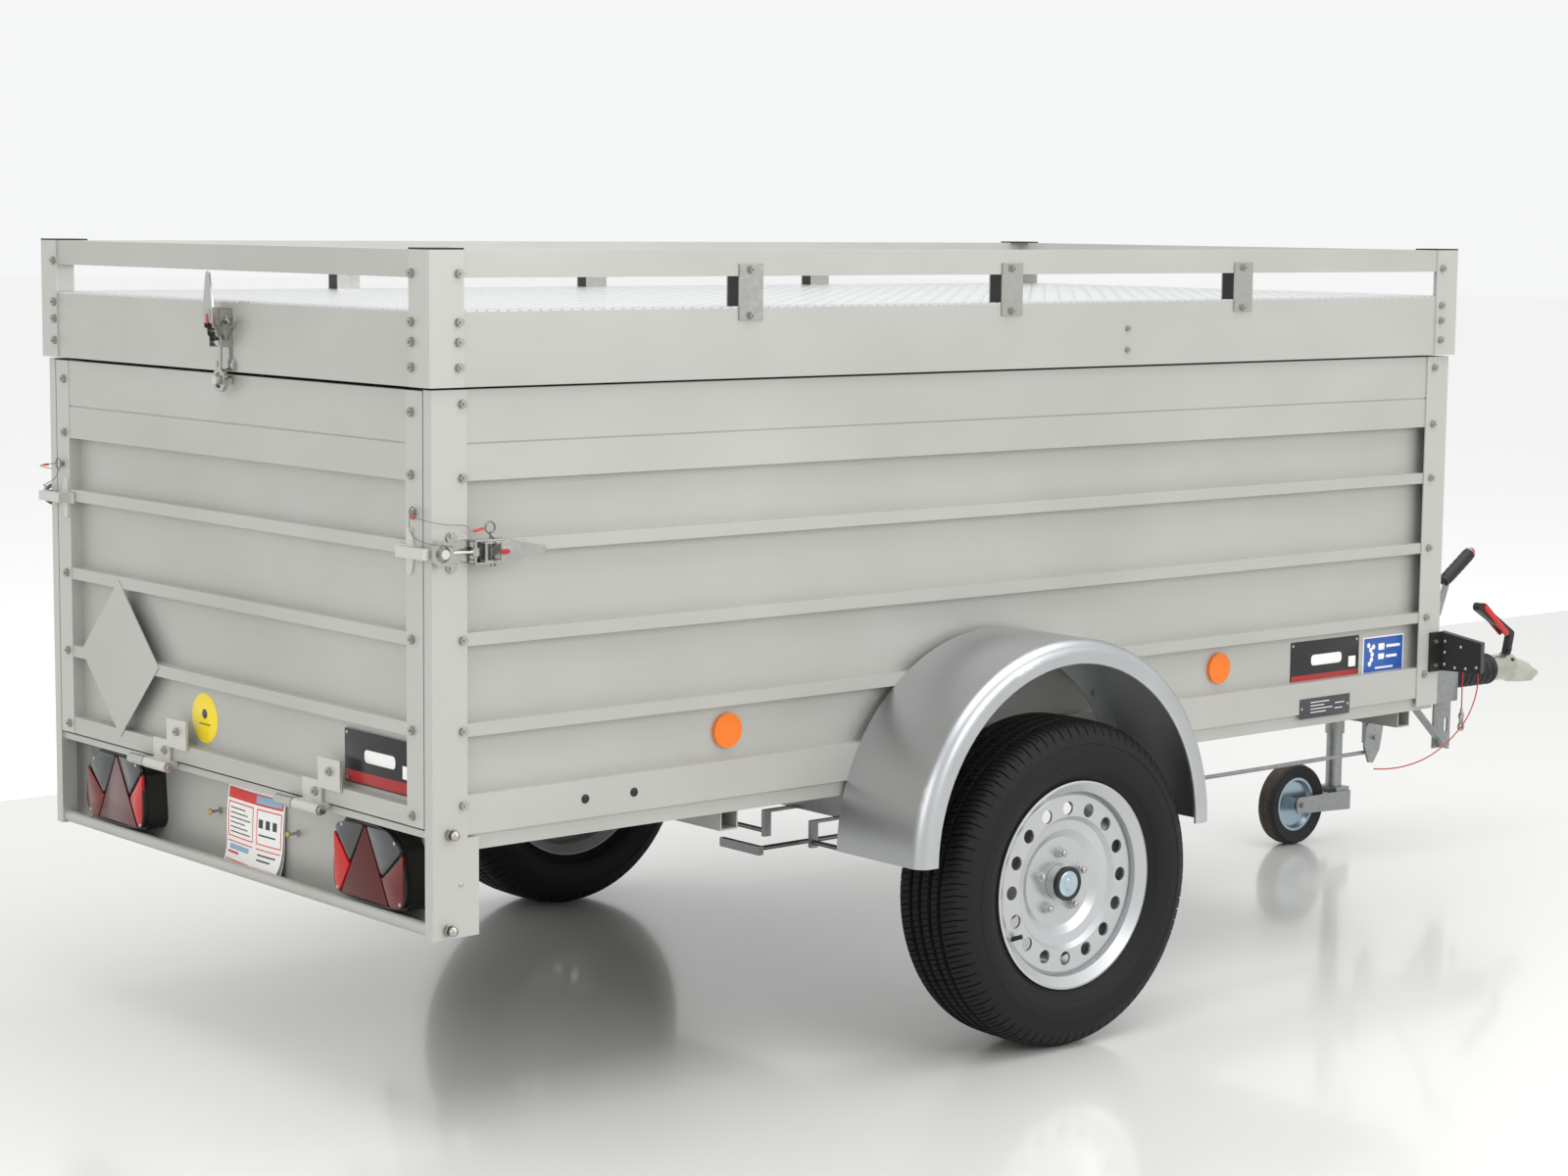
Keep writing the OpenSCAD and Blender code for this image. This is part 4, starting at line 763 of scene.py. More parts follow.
def tyre_shape(side):
    """A tyre: a closed section carried round the wheel's axis. The section's outer line is pushed in by the
    tread's depth wherever a ring groove, a slot or a sipe says so; the slots lean with the distance across."""
    tyre = props()[1]
    low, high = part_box(side + "_tyre")
    middle = (low + high) / 2
    r, h = (high.z - low.z) / 2 / MM, (high.y - low.y) / 2 / MM
    # Pairs of radius and distance from the tyre's middle plane: the side wall from the bead to the shoulder.
    wall = [(184.6, 67.5), (193, 72.5), (204, 76.5), (212, 84), (216, 88.2), (219, 88.6), (221, 90.2),
            (229, 92.6), (241.5, h), (252, h - 0.6), (253, h - 1.8), (266, h - 3.6), (267, h - 2.6),
            (274, h - 4.4), (283, h - 8.5), (290, h - 12.5), (296.5, h - 18), (r - 6.6, h - 24),
            (r - 3.6, h - 31), (r - 1.7, h - 38)]
    main = tyre.groove / MM / 2
    deep = tyre.depth / MM
    across, push = [], []
    for w in (-37.0, -13.0, 13.0, 37.0):
        near, far = w - main, w + main
        across += [near - 7.5, near - 0.7, near + 0.6, far - 0.6, far + 0.7, far + 6]
        push += [0, 0, deep, deep, 0, 0]
    crown = [(r - 0.9 * (abs(w) / 45) ** 2.2, w) for w in across]
    left = [(a, -b) for a, b in wall]
    inner = [(178.2, 63.5), (178.2, 49.5), (192, 53.5), (245.5, h - 12), (283.5, 70.5), (293.0, 50)]
    section = np.array(left + crown + wall[::-1] + inner + [(a, -b) for a, b in inner[::-1]])
    ring = np.zeros(len(section))
    ring[len(left):len(left) + len(push)] = push
    n_pitch = tyre.pitches
    inside = np.array([0, 0.03, 0.10, 0.13, 0.22, 0.36, 0.48, 0.505, 0.545, 0.57, 0.72, 0.86])
    turn = ((np.arange(n_pitch)[:, None] + inside) / n_pitch * 2 * np.pi).ravel()
    share = np.tile(inside, n_pitch)
    offset = np.abs(section[:, 1])
    outer = np.zeros(len(section))
    outer[:len(left) + len(push) + len(wall)] = 1
    slot = ((share > 0.02) & (share < 0.105))[None] * np.clip((offset - 44) / 3, 0, 1)[:, None]
    slot = slot * np.clip((h - 5 - offset) / 10, 0, 1)[:, None] * (section[:, :1] > 268)
    sipe = ((share > 0.50) & (share < 0.55))[None] * (offset < h - 22)[:, None] * (section[:, :1] > 290)
    bars = ((share > 0.02) & (share < 0.105))[None] * ((offset < 44) & (section[:, 0] > 290))[:, None]
    depth = np.maximum.reduce([ring[:, None] + 0 * slot, slot * deep * 0.8, sipe * deep * 0.55,
                               bars * deep * 0.5])
    depth = depth * outer[:, None]
    radial = section[:, :1] - depth
    lean = 0.9 * np.sign(section[:, 1]) * np.minimum(offset, 70) / 70 * 2 * np.pi / n_pitch
    angle = turn[None] + (lean * (section[:, 0] > 268))[:, None]
    x = middle.x + radial * MM * np.cos(angle)
    z = middle.z + radial * MM * np.sin(angle)
    y = middle.y + section[:, 1:2] * MM + 0 * angle
    verts = np.stack([x, y, z], -1).reshape(-1, 3)
    return verts, grid_faces(len(section), len(turn), True, True)[:, ::-1]


class BuildTyres(bpy.types.Operator):
    """Tyres with ring grooves, shoulder slots and sipes cut into the tread."""
    bl_idname = operator("Build tyres")
    bl_label = "Tyres"

    def execute(self, context):
        rubber = tyre_rubber()
        valve = moulded_black("valve_rubber", "#101010", 0.4)
        for name, sign in (("right", -1), ("left", 1)):
            tyre = piece(name + "_road_tyre", tyre_shape(name), name + "_wheel", rubber, 32)
            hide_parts(name + "_tyre")
            low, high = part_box(name + "_rim")
            hub = (low + high) / 2
            x, z = hub.x / MM, hub.z / MM
            turn = math.radians(212)
            path = [(x + r * math.cos(turn), sign * y, z + r * math.sin(turn))
                    for r, y in ((168, 824), (163, 834), (157, 843), (151, 851))]
            piece(name + "_valve", tube(np.array(path) * MM, np.array([6.0, 5.0, 4.2, 4.4]) * MM, 14),
                  name + "_wheel", valve)
        return {"FINISHED"}


class BuildHubs(bpy.types.Operator):
    """Hub caps: a black ring round a shallow bluish zinc cap with a raised middle."""
    bl_idname = operator("Build hubs")
    bl_label = "Hub caps"

    def execute(self, context):
        ring = moulded_black("hub_ring_plastic", "#17181A", 0.35)
        cap, tree, shader = surface("blue_passivated_zinc_cap", "#B4C4CE", 0.26, 0.85)
        bump(tree, shader, noise(tree, place(tree, (6, 6, 6)), 3), 0.15, 0.4)
        bolt = bright_zinc()
        for name, sign in (("right", -1), ("left", 1)):
            low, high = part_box(name + "_rim")
            middle = (low + high) / 2
            base = (middle.x, sign * HUB_FACE * MM, middle.z)
            out = (0, sign, 0)
            profile = [(-9, 24), (-9, 31.5), (-3, 32.5), (1.5, 31.8), (2.4, 30), (1.4, 25.5), (-1, 24)]
            piece(name + "_hub_ring", lathe(np.array(profile) * MM, base, out, 64), name + "_wheel", ring)
            a = np.linspace(0, np.pi / 2, 8)
            shape = [(-3.0, 24.6)] + [(2.6 * math.sin(t), 14 + 10.6 * math.cos(t)) for t in a]
            shape += [(2.0, 12.5), (2.0, 11), (3.2, 10), (3.2, 0.05)]
            piece(name + "_hub_cap", lathe(np.array(shape) * MM, base, out, 64), name + "_wheel", cap)
            seats = []
            for i in range(5):
                turn = math.radians(i * 72 + 18)
                x = middle.x / MM + BOLT_CIRCLE / 2 * math.cos(turn)
                z = middle.z / MM + BOLT_CIRCLE / 2 * math.sin(turn)
                seats.append(dome((x, sign * (HALF_TRACK + 46), z), out, 6.2, 3.0, 5.0))
            piece(name + "_bolt_ends", seats, name + "_wheel", bolt)
        return {"FINISHED"}


# Corners of each window as shares of a lamp's width, counted outwards, and of its height.
LAMP_SHAPES = {
    "stop": [(0.46, 0.975), (0.115, 0.035), (0.775, 0.035)],
    "reflector": [(0.025, 0.20), (0.055, 0.06), (0.095, 0.05), (0.235, 0.42), (0.02, 0.80)],
    "inner_clear": [(0.035, 0.84), (0.245, 0.47), (0.435, 0.965), (0.19, 0.965), (0.06, 0.90)],
    "outer_clear": [(0.48, 0.965), (0.665, 0.425), (0.70, 0.40), (0.945, 0.75), (0.90, 0.83),
                    (0.765, 0.965)],
    "outer_red": [(0.678, 0.375), (0.70, 0.365), (0.975, 0.72), (0.98, 0.18), (0.955, 0.06), (0.90, 0.035),
                  (0.79, 0.035)],
}


class BuildLamps(bpy.types.Operator):
    """Tail lamps as separate windows on a black rim, with their screws, and the front marker lenses."""
    bl_idname = operator("Build lamps")
    bl_label = "Lamps"

    def execute(self, context):
        lamps = props()[3]
        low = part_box("lamp_lenses")[0]
        face, inner, base = low.x / MM, -LAMP_INNER, low.z / MM - 1
        rim = moulded_black("lamp_rim_plastic", "#101010", 0.34)
        # The red reflector triangle glows at 0.12: painted light, since it is no lamp.
        finishes = {"stop": bead_plastic("stop_window_red", lamps.red, 3.0),
                    "reflector": bead_plastic("reflector_red", lamps.bright, 4.2, 0.12),
                    "inner_clear": bead_plastic("clear_window", lamps.smoke, 3.2),
                    "outer_clear": bead_plastic("clear_window_outer", lamps.smoke, 3.2),
                    "outer_red": bead_plastic("tail_window_red", "#6E0D0D", 3.0)}
        corner = [(0, 20), (20, 0), (LAMP_W - 20, 0), (LAMP_W, 20), (LAMP_W, 58),
                  (LAMP_W - 14, LAMP_H - 33), (LAMP_W - 50, LAMP_H), (38, LAMP_H), (7, LAMP_H - 30)]
        outline = chaikin(corner, 3)
        screws = [(0.13, 0.90), (0.86, 0.84), (0.06, 0.085), (0.93, 0.10)]
        steel = bright_zinc()
        for name, turn in SIDES:
            back = plate("rear", outline, (face + 12.5, inner, base), 7, 2)
            middle = outline.mean(0)
            edge = middle + (outline - middle) * 0.985
            path = np.stack([np.full(len(edge), face + 3.6), inner - edge[:, 0], base + edge[:, 1]], -1)
            lip = tube(path * MM, 2.6 * MM, 8, True)
            mount = piece(name + "_lamp_rim", [turn(back), turn(lip)], "body", rim)
            if name == "right":
                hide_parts("lamp_lenses")
            for kind, points in LAMP_SHAPES.items():
                shape = nipped(np.array(points) * (LAMP_W, LAMP_H), 5)
                part = plate("rear", shape, (face + 6, inner, base), 5.4, 1.6)
                piece(name + "_lamp_" + kind, turn(part), "body", finishes[kind], angle=30)
            heads = [dome((face + 1.6, inner - u * LAMP_W, base + v * LAMP_H), (-1, 0, 0), 3.4, 1.2, 0.8)
                     for u, v in screws]
            piece(name + "_lamp_screws", [turn(head) for head in heads], "body", steel)
        clear = bead_plastic("marker_window_clear", "#D8DADB", 3.0, 0.05)
        turned = math.radians(-72)
        right = np.array([math.cos(turned), math.sin(turned), 0])
        arm = np.array([FRONT / MM - 3, -653, 0])
        out = np.array([-math.sin(turned), math.cos(turned), 0])
        origin = (arm + right * 63 + out * 21 + np.array([0, 0, 606.5])) * MM
        lens = slab(rounded(48 * MM, 43 * MM, 5 * MM), 13 * MM, 3 * MM, origin, -right, (0, 0, 1), 3)
        rivets = []
        for along, height in ((10, 586), (10, 612), (10, 636), (34, 580), (58, 580), (82, 584), (46, 626)):
            at = arm + right * along - out * 2 + np.array([0, 0, height])
            rivets.append(dome(at, -out, 3.4, 1.4, 0.3))
        for name, turn in SIDES:
            piece(name + "_marker_window", turn(lens), "body", clear)
            piece(name + "_marker_rivets", [turn(one) for one in rivets], "body", steel)
        return {"FINISHED"}


class BuildLabels(bpy.types.Operator):
    """Blank plates and stickers: dark panels with a red foot, a blue sticker, a yellow disc and a tag."""
    bl_idname = operator("Build labels")
    bl_label = "Labels"

    def execute(self, context):
        black = vinyl_print("black_enamelled_plate", "#17171A", 0.28)
        red = vinyl_print("red_printed_band", "#9E1B1E")
        white = vinyl_print("white_printed_film", "#EDEDEB")
        blue = vinyl_print("blue_printed_film", "#2A57A8")
        yellow = vinyl_print("yellow_printed_film", "#F2D81C")
        grey = vinyl_print("etched_aluminium_tag", "#35383B", 0.35)
        steel = bright_zinc()

        def layered(name, face, at, body, layers):
            """Stacked plates: each lies on those below it that are thicker than a print."""
            right, up = frame_axes(face)
            out = np.cross(np.array(right, float), np.array(up, float))
            for i, (part, material, outline, thickness) in enumerate(layers):
                lift = np.asarray(at, float) + out * sum(layer[3] for layer in layers[:i] if layer[3] > 0.45)
                if thickness <= 0.45:
                    lift = lift + out * 0.02
                piece(name + "_" + part, plate(face, outline, lift, thickness, min(0.2, thickness / 2)), body,
                      material)

        skin = WALL_SKIN_MM
        plate_layers = [("panel", black, oblong((0, 0), (210, 92), 2), 1.0),
                        ("foot", red, oblong((3, 2.5), (207, 22), 1), 0.3),
                        ("bar", white, oblong((62, 40), (156, 62), 8), 0.3),
                        ("tick", white, oblong((178, 28), (200, 50), 1), 0.3)]
        layered("rear_plate", "rear", (PANEL_X, REAR_PLATE_Y, PLATE_Z), "tailgate", plate_layers)
        layered("side_plate", "right", (SIDE_PLATE_X, skin, PLATE_Z), "body",
                [(part, finish, outline * (1.04, 1.02), thickness)
                 for part, finish, outline, thickness in plate_layers])
        layered("round_sticker", "rear", (STICKER_X, 120, 617), "tailgate",
                [("disc", yellow, disc(46, (0, 0), 48), 0.5),
                 ("rule", grey, oblong((-20, -12), (20, -10), 1), 0.3),
                 ("spot", grey, disc(9, (0, 8), 20), 0.3)])
        sticker_x, sticker_z = BLUE_STICKER
        on_sticker = (sticker_x, skin - 0.9, sticker_z)
        layered("blue_sticker", "right", (sticker_x, skin, sticker_z), "body",
                [("border", white, oblong((0, 0), (134, 82), 2), 0.5),
                 ("field", blue, oblong((3, 3), (131, 79), 1.5), 0.3)])
        spots = [plate("right", disc(5.5, at, 16), on_sticker, 0.25, 0.1)
                 for at in ((18, 64), (25, 54), (30, 44), (28, 33), (22, 24), (34, 60))]
        bars = [plate("right", oblong(low, high, 2), on_sticker, 0.25, 0.1)
                for low, high in (((50, 52), (70, 66)), ((76, 56), (122, 62)), ((50, 32), (70, 44)),
                                  ((76, 34), (112, 40)), ((40, 12), (100, 16)))]
        piece("blue_sticker_marks", spots + bars, "body", white)
        tag_x, tag_z = TYPE_TAG
        layered("type_tag", "right", (tag_x, -SILL_FACE, tag_z), "body",
                [("plate", grey, oblong((0, 0), (160, 42), 2), 0.8)])
        on_tag = (tag_x, -SILL_FACE - 0.9, tag_z)
        lines = [plate("right", oblong((x, y), (x + w, y + 1.6), 0.8), on_tag, 0.2, 0.1)
                 for x, y, w in ((34, 32, 60), (34, 25, 44), (34, 18, 70), (34, 11, 50), (112, 25, 30),
                                 (112, 14, 24))]
        piece("type_tag_lines", lines, "body", white)
        rivets = [dome((tag_x + x, -SILL_FACE - 0.8, tag_z + 21), (0, -1, 0), 3, 1.2, 0.2) for x in (7, 153)]
        rivets += [dome((SIDE_PLATE_X + x, skin - 1.0, PLATE_Z + z), (0, -1, 0), 3.2, 1.2, 0.2)
                   for x in (7, 211) for z in (86, 8)]
        piece("side_label_rivets", rivets, "body", steel)
        rear = [dome((PANEL_X - 1.0, REAR_PLATE_Y - y, PLATE_Z + z), (-1, 0, 0), 3.2, 1.2, 0.2)
                for y in (7, 203) for z in (85, 7)]
        piece("rear_label_rivets", rear, "tailgate", steel)
        return {"FINISHED"}


class BuildLeaflet(bpy.types.Operator):
    """A stapled leaflet hanging in the plate recess: sheets that bow out and curl up at the foot."""
    bl_idname = operator("Build leaflet")
    bl_label = "Leaflet"

    def execute(self, context):
        paper = vinyl_print("coated_paper", "#F4F3F0", 0.45)
        red = vinyl_print("red_ink", "#D8322F", 0.45)
        dark = vinyl_print("dark_ink", "#2B2C31", 0.45)
        teal = vinyl_print("pale_blue_ink", "#8EB5CE", 0.45)
        top, width, tall = 497.0, 196.0, 150.0
        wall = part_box("light_carrier")[1].x / MM - 3

        def patch(low, high, lift, bow=1.0, steps=18):
            """A patch of the sheet: its distance from the wall is a shallow wave down the sheet plus a curl
            that grows with the fourth power of the way down, and its foot is drawn up by the curl."""
            u = np.linspace(low[0], high[0], 10)
            v = np.linspace(low[1], high[1], steps)
            uu, vv = np.meshgrid(u, v, indexing="ij")
            share = vv / tall
            curl = bow * (26 * share**4 * (0.7 + 0.5 * uu / width) + 5 * np.sin(share * 4.2))
            x = wall - 2.5 - np.abs(curl) - lift
            y = 98 - uu + 3 * share
            z = top - vv + bow * 6 * share**3 - 2 * np.sin(uu / width * 3)
            front = np.stack([x, y, z], -1).reshape(-1, 3)
            back = front + (0.5, 0, 0)
            n, m = len(u), len(v)
            face = grid_faces(n, m)[:, ::-1]
            under = grid_faces(n, m) + n * m
            grid = np.arange(n * m).reshape(n, m)
            edge = np.concatenate([grid[0], grid[1:, -1], grid[-1, -2::-1], grid[-2:0:-1, 0]])
            after = np.roll(edge, -1)
            side = np.stack([edge, edge + n * m, after + n * m, after], -1)
            verts = np.concatenate([front, back]) * MM
            return verts, np.concatenate([face, under, side]).tolist()

        sheets = [patch((0, 0), (width, tall), 0.0, 1.0), patch((1, 2), (width - 2, tall - 3), -1.2, 0.8),
                  patch((3, 1), (width - 1, tall - 7), -2.0, 0.6)]
        piece("leaflet_sheets", sheets, "body", paper)
        frames = [((4, 4), (192, 24)), ((6, 30), (92, 32)), ((6, 30), (8, 96)), ((90, 30), (92, 96)),
                  ((6, 94), (92, 96)), ((104, 30), (190, 32)), ((104, 94), (190, 96)),
                  ((104, 30), (106, 96)), ((188, 30), (190, 96)), ((6, 104), (92, 106)),
                  ((6, 140), (92, 142)), ((104, 104), (190, 106)), ((104, 140), (190, 142)),
                  ((8, 124), (46, 128))]
        marks = [patch(low, high, 0.45) for low, high in frames]
        piece("leaflet_red_marks", marks, "body", red)
        bars = [((112 + i * 24, 48), (126 + i * 24, 64)) for i in range(3)]
        bars += [((14, 40 + i * 9), (64 + 9 * (i % 3), 42 + i * 9)) for i in range(6)]
        bars += [((112, 76), (170, 79)), ((112, 114), (176, 117)), ((112, 124), (160, 127))]
        icons = [patch(low, high, 0.45) for low, high in bars]
        piece("leaflet_dark_marks", icons, "body", dark)
        pale = [patch((100, 6), (188, 20), 0.9), patch((14, 110), (80, 120), 0.45)]
        piece("leaflet_pale_marks", pale, "body", teal)
        return {"FINISHED"}


def clip_path(straight, tip, ring, out, along, radius):
    """A spring clip's wire: a straight leg, one turn of a ring at its head, and a waved leg beside it.
    The ring is a circle in the plane of the leg and the outward direction."""
    straight, tip = np.asarray(straight, float), np.asarray(tip, float)
    out, along = np.asarray(out, float), np.asarray(along, float)
    turn = np.linspace(-np.pi / 2, 3.6, 22)[:, None]
    centre = straight + along * ring
    loop = centre + radius * (np.cos(turn) * out + np.sin(turn) * along) - radius * 0.2 * out
    reach = np.linalg.norm(straight - tip)
    share = np.linspace(0.15, 1.0, 16)[:, None]
    wave = straight - along * reach * share + out * (5.0 + 4.0 * np.sin(share * 9.0))
    return smooth_path(np.concatenate([[tip], [(straight + tip) / 2], loop, wave]), 3)


class BuildLatchDetails(bpy.types.Operator):
    """Badges on the latch levers, spring clips through their holes, and the lanyards that keep the clips."""
    bl_idname = operator("Build latch details")
    bl_label = "Latch details"

    def execute(self, context):
        fit = props()[2]
        red = moulded_black("red_resin_badge", "#B3201C", 0.25)
        pale = moulded_black("grey_resin_plate", "#9A9C9E", 0.3)
        wire = drawn_wire("spring_steel_wire", "#8E8C88", 0.24)
        rope = drawn_wire("stranded_steel_lanyard", "#8A8A88", 0.4, 1.6)
        ferrule = vinyl_print("red_shrink_sleeve", "#C9301F", 0.4)
        u = np.linspace(0, 2 * np.pi, 28, endpoint=False)
        oval = np.stack([9.5 * np.cos(u), 4.6 * np.sin(u)], -1)
        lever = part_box("right_latch_lever")
        x, y, z = lever[0].x / MM + 34, lever[0].y / MM, (lever[0].z + lever[1].z) / 2 / MM
        badge_r = [plate("right", oblong((-7, -8), (16, 8), 3), (x, y, z), 1.0, 0.3),
                   plate("right", oval, (x - 2, y - 0.9, z), 0.9, 0.4)]
        wire_r = fit.wire / MM
        leg = (x - 13, y + 24, z + 24)
        clip = clip_path(leg, (leg[0], leg[1], z - 26), 14, (1, 0, 0), (0, 0, 1), 9.5)
        ring_at = np.array([leg[0], leg[1], leg[2] + 14])
        eyelet = np.array(EYELET)
        rope_path = smooth_path([ring_at + (-9, -2, 2), ring_at + (-40, -3, -4), (-1838, -664, 1030),
                                 (-1878, -668, 1034), (-1908, -664, 1040), (-1922, -650, 1045),
                                 (-1918, -626, 1048), eyelet + (-6, -6, 2)], 6)
        second = smooth_path([eyelet + (-4, 3, -3), (-1912, -612, 1022), (-1916, -640, 1010),
                              (-1908, -666, 1004), (-1884, -676, 1001), (-1868, -673, 998)], 6)
        ring = eyelet + np.stack([0 * u - 4, 10 * np.cos(u) - 6, 10 * np.sin(u)], -1)
        split = tube(ring * MM, 1.1 * MM, 8, True)
        sleeves = [tube(rope_path[k:k + 4] * MM, 2.3 * MM, 10) for k in (2, len(rope_path) - 10)]
        screw = dome(eyelet + (4, 0, 0), (-1, 0, 0), 5, 2.5, 4)
        for name, turn in SIDES:
            body = name + "_latch_lever"
            piece(name + "_lever_plate", turn(badge_r[0]), body, pale)
            piece(name + "_lever_badge", turn(badge_r[1]), body, red)
            piece(name + "_spring_clip", turn(tube(clip * MM, wire_r * MM, 8)), "body", wire)
            ropes = [turn(tube(path * MM, fit.lanyard, 6)) for path in (rope_path, second)]
            piece(name + "_lanyard", ropes + [turn(split)], "body", rope)
            piece(name + "_lanyard_sleeves", [turn(one) for one in sleeves], "body", ferrule)
            piece(name + "_eyelet_screw", turn(screw), "body", wire)
        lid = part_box("lid_latch_lever")
        x, y, z = lid[0].x / MM, (lid[0].y + lid[1].y) / 2 / MM, lid[0].z / MM + 34
        piece("lid_lever_plate", plate("rear", oblong((-8, -7), (8, 16), 3), (x, y, z), 1.0, 0.3),
              "lid_latch_lever", pale)
        piece("lid_lever_badge", plate("rear", oval[:, ::-1], (x - 0.9, y, z - 2), 0.9, 0.4),
              "lid_latch_lever", red)
        leg = (x + 24, y - 30, z - 8)
        clip = clip_path(leg, (leg[0], y + 26, leg[2]), 14, (0, 0, 1), (0, -1, 0), 9.5)
        piece("lid_spring_clip", tube(clip * MM, wire_r * MM, 8), "lid", wire)
        links = []
        for i in range(7):
            at = np.array([leg[0] - 1, y - 44 + 3.0 * i, leg[2] - 6 - 5.2 * i + 0.25 * i * i])
            flat = (i % 2) * 1.0
            wide = 2.2 * np.sin(u)
            link = at + np.stack([flat * wide, (1 - flat) * wide, 4.2 * np.cos(u)], -1)
            links.append(tube(link * MM, 0.7 * MM, 6, True))
        piece("lid_clip_chain", links, "lid", wire)
        return {"FINISHED"}


class BuildDrawbarDetails(bpy.types.Operator):
    """Coupling grip and its pads, the handbrake's grip with its push button, and the bellows."""
    bl_idname = operator("Build drawbar details")
    bl_label = "Drawbar details"

    def execute(self, context):
        red = moulded_red()
        black = moulded_black("black_nylon_grip", "#121212", 0.45)
        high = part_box("coupling_handle")[1]
        back = np.array([high.x / MM - 27, 0, high.z / MM - 91])
        foot = np.array([high.x / MM - 132, 0, high.z / MM - 8])
        slope = foot - back
        reach = np.linalg.norm(slope)
        slope = slope / reach
        lift = np.array([-slope[2], 0, slope[0]])
        lift = lift if lift[2] > 0 else -lift
        for sign in (-1, 1):
            side = np.array([0, sign, 0.0])
            origin = (back + foot) / 2 + side * 9.2
            along = slope if sign < 0 else -slope
            out = np.cross(along, lift)
            along = along if out @ side > 0 else -along
            outline = rounded(reach * 0.94 * MM, 15 * MM, 6 * MM)
            part = slab(outline, 3.2 * MM, 1.4 * MM, origin * MM, along, lift)
            piece("coupling_grip_pad_" + ("right" if sign < 0 else "left"), part, "coupling_handle", red)
        top = slab(rounded(reach * 0.9 * MM, 12 * MM, 5 * MM), 2.2 * MM, 1.0 * MM,
                   ((back + foot) / 2 + lift * 10.6) * MM, slope, np.cross(lift, slope))
        piece("coupling_grip_top", top, "coupling_handle", red)
        knob = dome((back[0] - 6, -11, back[2] - 34), (0, -1, 0), 8, 5, 8)
        piece("coupling_knob", knob, "coupling_handle", black)

        brake_low, brake_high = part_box("handbrake_lever")
        tip_y = (brake_low.y + brake_high.y) / 2 / MM
        lean = math.radians(GRIP_LEAN)
        axis = np.array([math.sin(lean), 0, math.cos(lean)])
        start = np.array([GRIP_X, tip_y, GRIP_Z])
        a = np.linspace(0, 1, 25)
        ridge = 15.7 + 0.9 * np.maximum(0, np.sin(a * np.pi * 12)) * (a > 0.12) * (a < 0.9) - 1.5 * (a > 0.96)
        profile = [(-14.0, 10.5), (-13.0, 13.2), (-3.0, 14.0), *zip(a * 107, ridge), (108.0, 11.0)]
        piece("handbrake_grip", lathe(np.array(profile) * MM, start * MM, axis, 32), "handbrake_lever", black)
        shape = [(108.0, 9.6), (116.5, 9.4), (118.5, 8.2), (119.2, 5.0), (119.3, 0.1)]
        piece("handbrake_button", lathe(np.array(shape) * MM, start * MM, axis, 28), "handbrake_lever", red)
        under = np.array([axis[2], 0, -axis[0]])
        strip = slab(rounded(86 * MM, 9 * MM, 4 * MM), 2.6 * MM, 1.0 * MM,
                     (start + axis * 54 + under * 14.9) * MM, axis, np.cross(under, axis))
        piece("handbrake_strip", strip, "handbrake_lever", red)

        low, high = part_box("bellows")
        length = (high.x - low.x) / MM
        s = np.linspace(0, 1, 97)
        fold = np.abs(np.sin(s * np.pi * 8)) ** 0.7
        outer = 30.6 + 7.6 * fold + 1.4 * s - 2.2 * (s > 0.97)
        profile = [(0.0, 26.5)] + list(zip(s * length, outer)) + [(length, 26.6)]
        skin = lathe(np.array(profile) * MM, (low.x, 0, (low.z + high.z) / 2), (1, 0, 0), 56)
        boot = piece("bellows_skin", skin, "body", moulded_black("chloroprene_rubber_folds", "#131313", 0.5),
                     angle=70)
        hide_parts("bellows")
        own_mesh(boot)
        return {"FINISHED"}


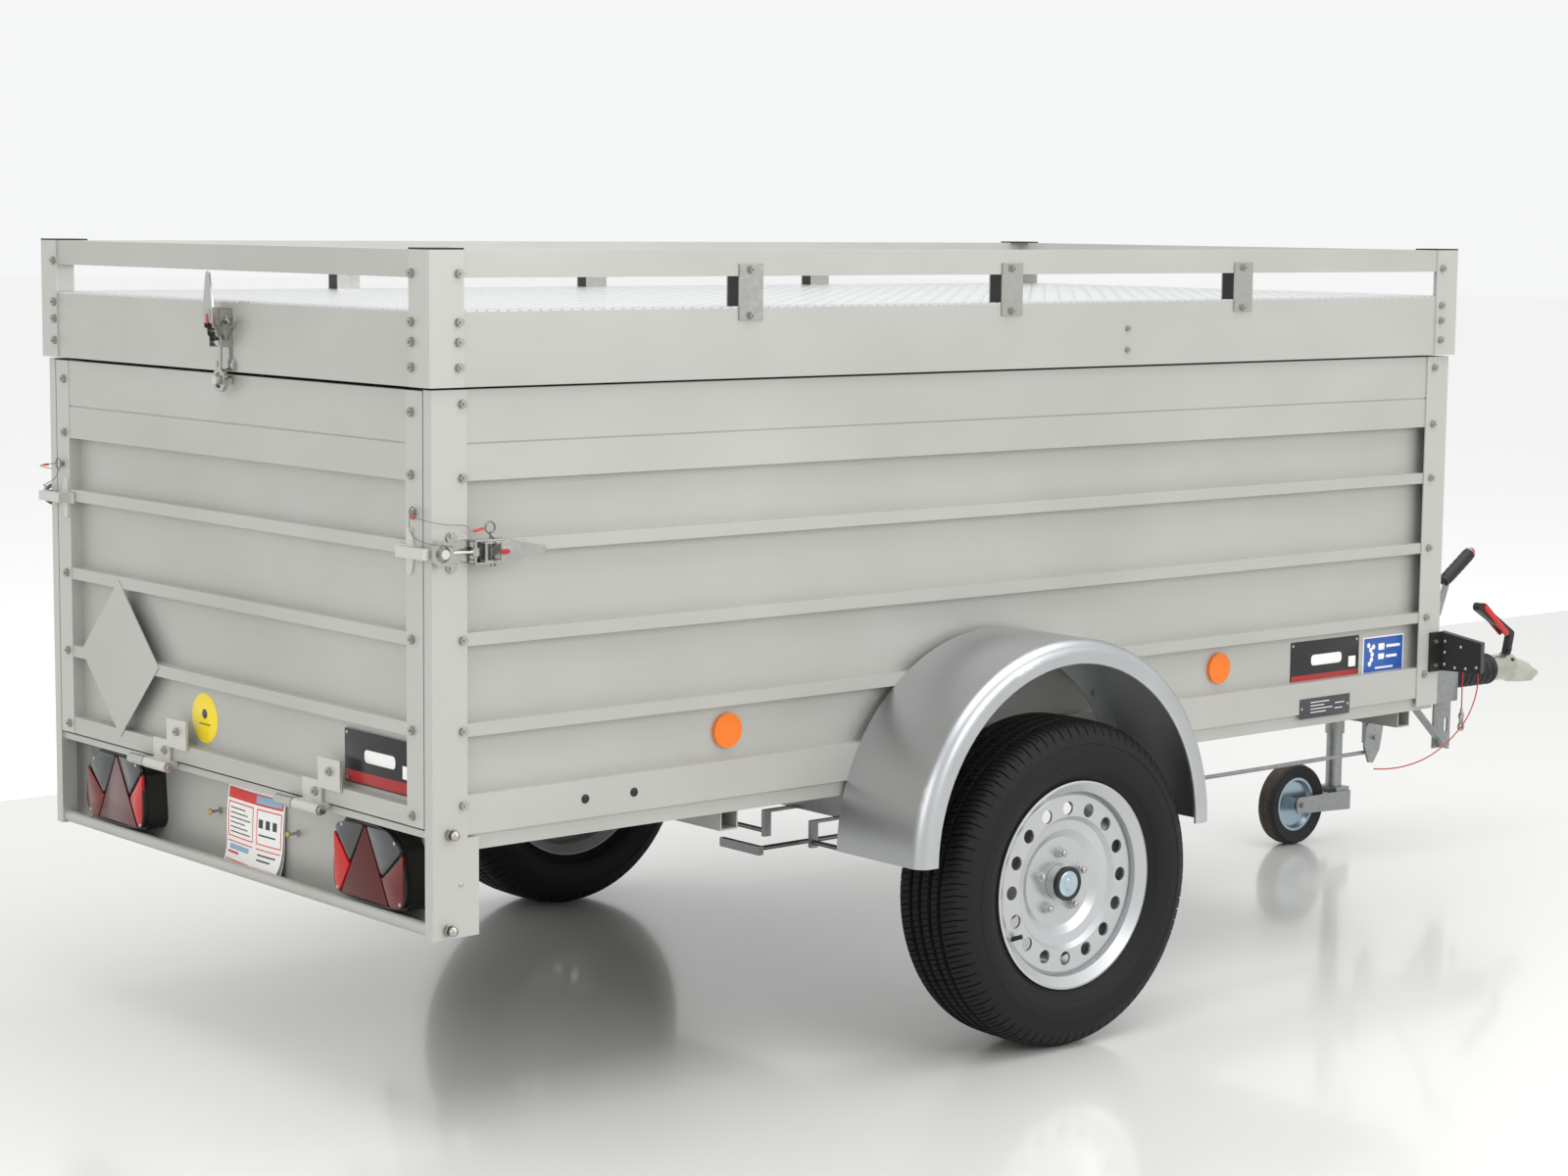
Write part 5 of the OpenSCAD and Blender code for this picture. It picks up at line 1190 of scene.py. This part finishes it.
class BuildFasteners(bpy.types.Operator):
    """Domed cap nuts, black plugs and yellow screw heads that the frame's own fasteners lack."""
    bl_idname = operator("Build fasteners")
    bl_label = "Fasteners"

    def execute(self, context):
        zinc, yellow = bright_zinc(), yellow_zinc()
        black = moulded_black("black_plug", "#0F0F0F", 0.4)
        side, rear = -SIDE / MM, REAR / MM
        caps = [dome((rear + along, -CAP_NUT_FACE, height), (0, -1, 0), 8.6, 8, 0.6)
                for along, height in ((44, 522), (40, 363))]
        caps += [dome((rear + 64, side, 436), (0, -1, 0), 4.0, 1.6, 0.4)]
        plugs = [dome((x, -SILL_FACE, SILL_PLUG_Z), (0, -1, 0), 8, 2.6, 0.5) for x in (-1586, -1482)]
        for name, turn in SIDES:
            piece(name + "_cap_nuts", [turn(one) for one in caps], "body", zinc)
            piece(name + "_sill_plugs", [turn(one) for one in plugs], "body", black)
        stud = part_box("light_carrier")[1].x / MM - 25
        heads = [dome((stud + 0.3, y, PLATE_STUD_Z), (-1, 0, 0), 6, 3.2, 0.6)
                 for y in (-PLATE_STUD_Y, PLATE_STUD_Y)]
        piece("plate_screw_heads", heads, "body", yellow)
        return {"FINISHED"}


OPERATORS = [BuildStage, BuildCable, FinishFrame, BuildTyres, BuildHubs, BuildLamps, BuildLabels, BuildLeaflet,
             BuildLatchDetails, BuildDrawbarDetails, BuildFasteners]
GROUPS = {"trailer_stage": TrailerStage, "trailer_tyres": TrailerTyres, "trailer_fittings": TrailerFittings,
          "trailer_lamps": TrailerLamps}


class TrailerPanel(bpy.types.Panel):
    """Sizes and the build steps, in order."""
    bl_idname = "VIEW3D_PT_trailer"
    bl_label = "Trailer"
    bl_space_type = "VIEW_3D"
    bl_region_type = "UI"
    bl_category = "Trailer"

    def draw(self, context):
        for key, group in GROUPS.items():
            for name in group.__annotations__:
                self.layout.prop(getattr(context.scene, key), name)
        for one in OPERATORS:
            self.layout.operator(one.bl_idname)


def register():
    for one in [*GROUPS.values(), *OPERATORS, TrailerPanel]:
        bpy.utils.register_class(one)
    for key, group in GROUPS.items():
        setattr(bpy.types.Scene, key, PointerProperty(type=group))


def unregister():
    for key in GROUPS:
        delattr(bpy.types.Scene, key)
    for one in [TrailerPanel, *OPERATORS[::-1], *list(GROUPS.values())[::-1]]:
        bpy.utils.unregister_class(one)


def main():
    """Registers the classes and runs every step."""
    register()
    for one in OPERATORS:
        group, name = one.bl_idname.split(".")
        getattr(getattr(bpy.ops, group), name)()
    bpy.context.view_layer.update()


if __name__ == "__main__":
    main()
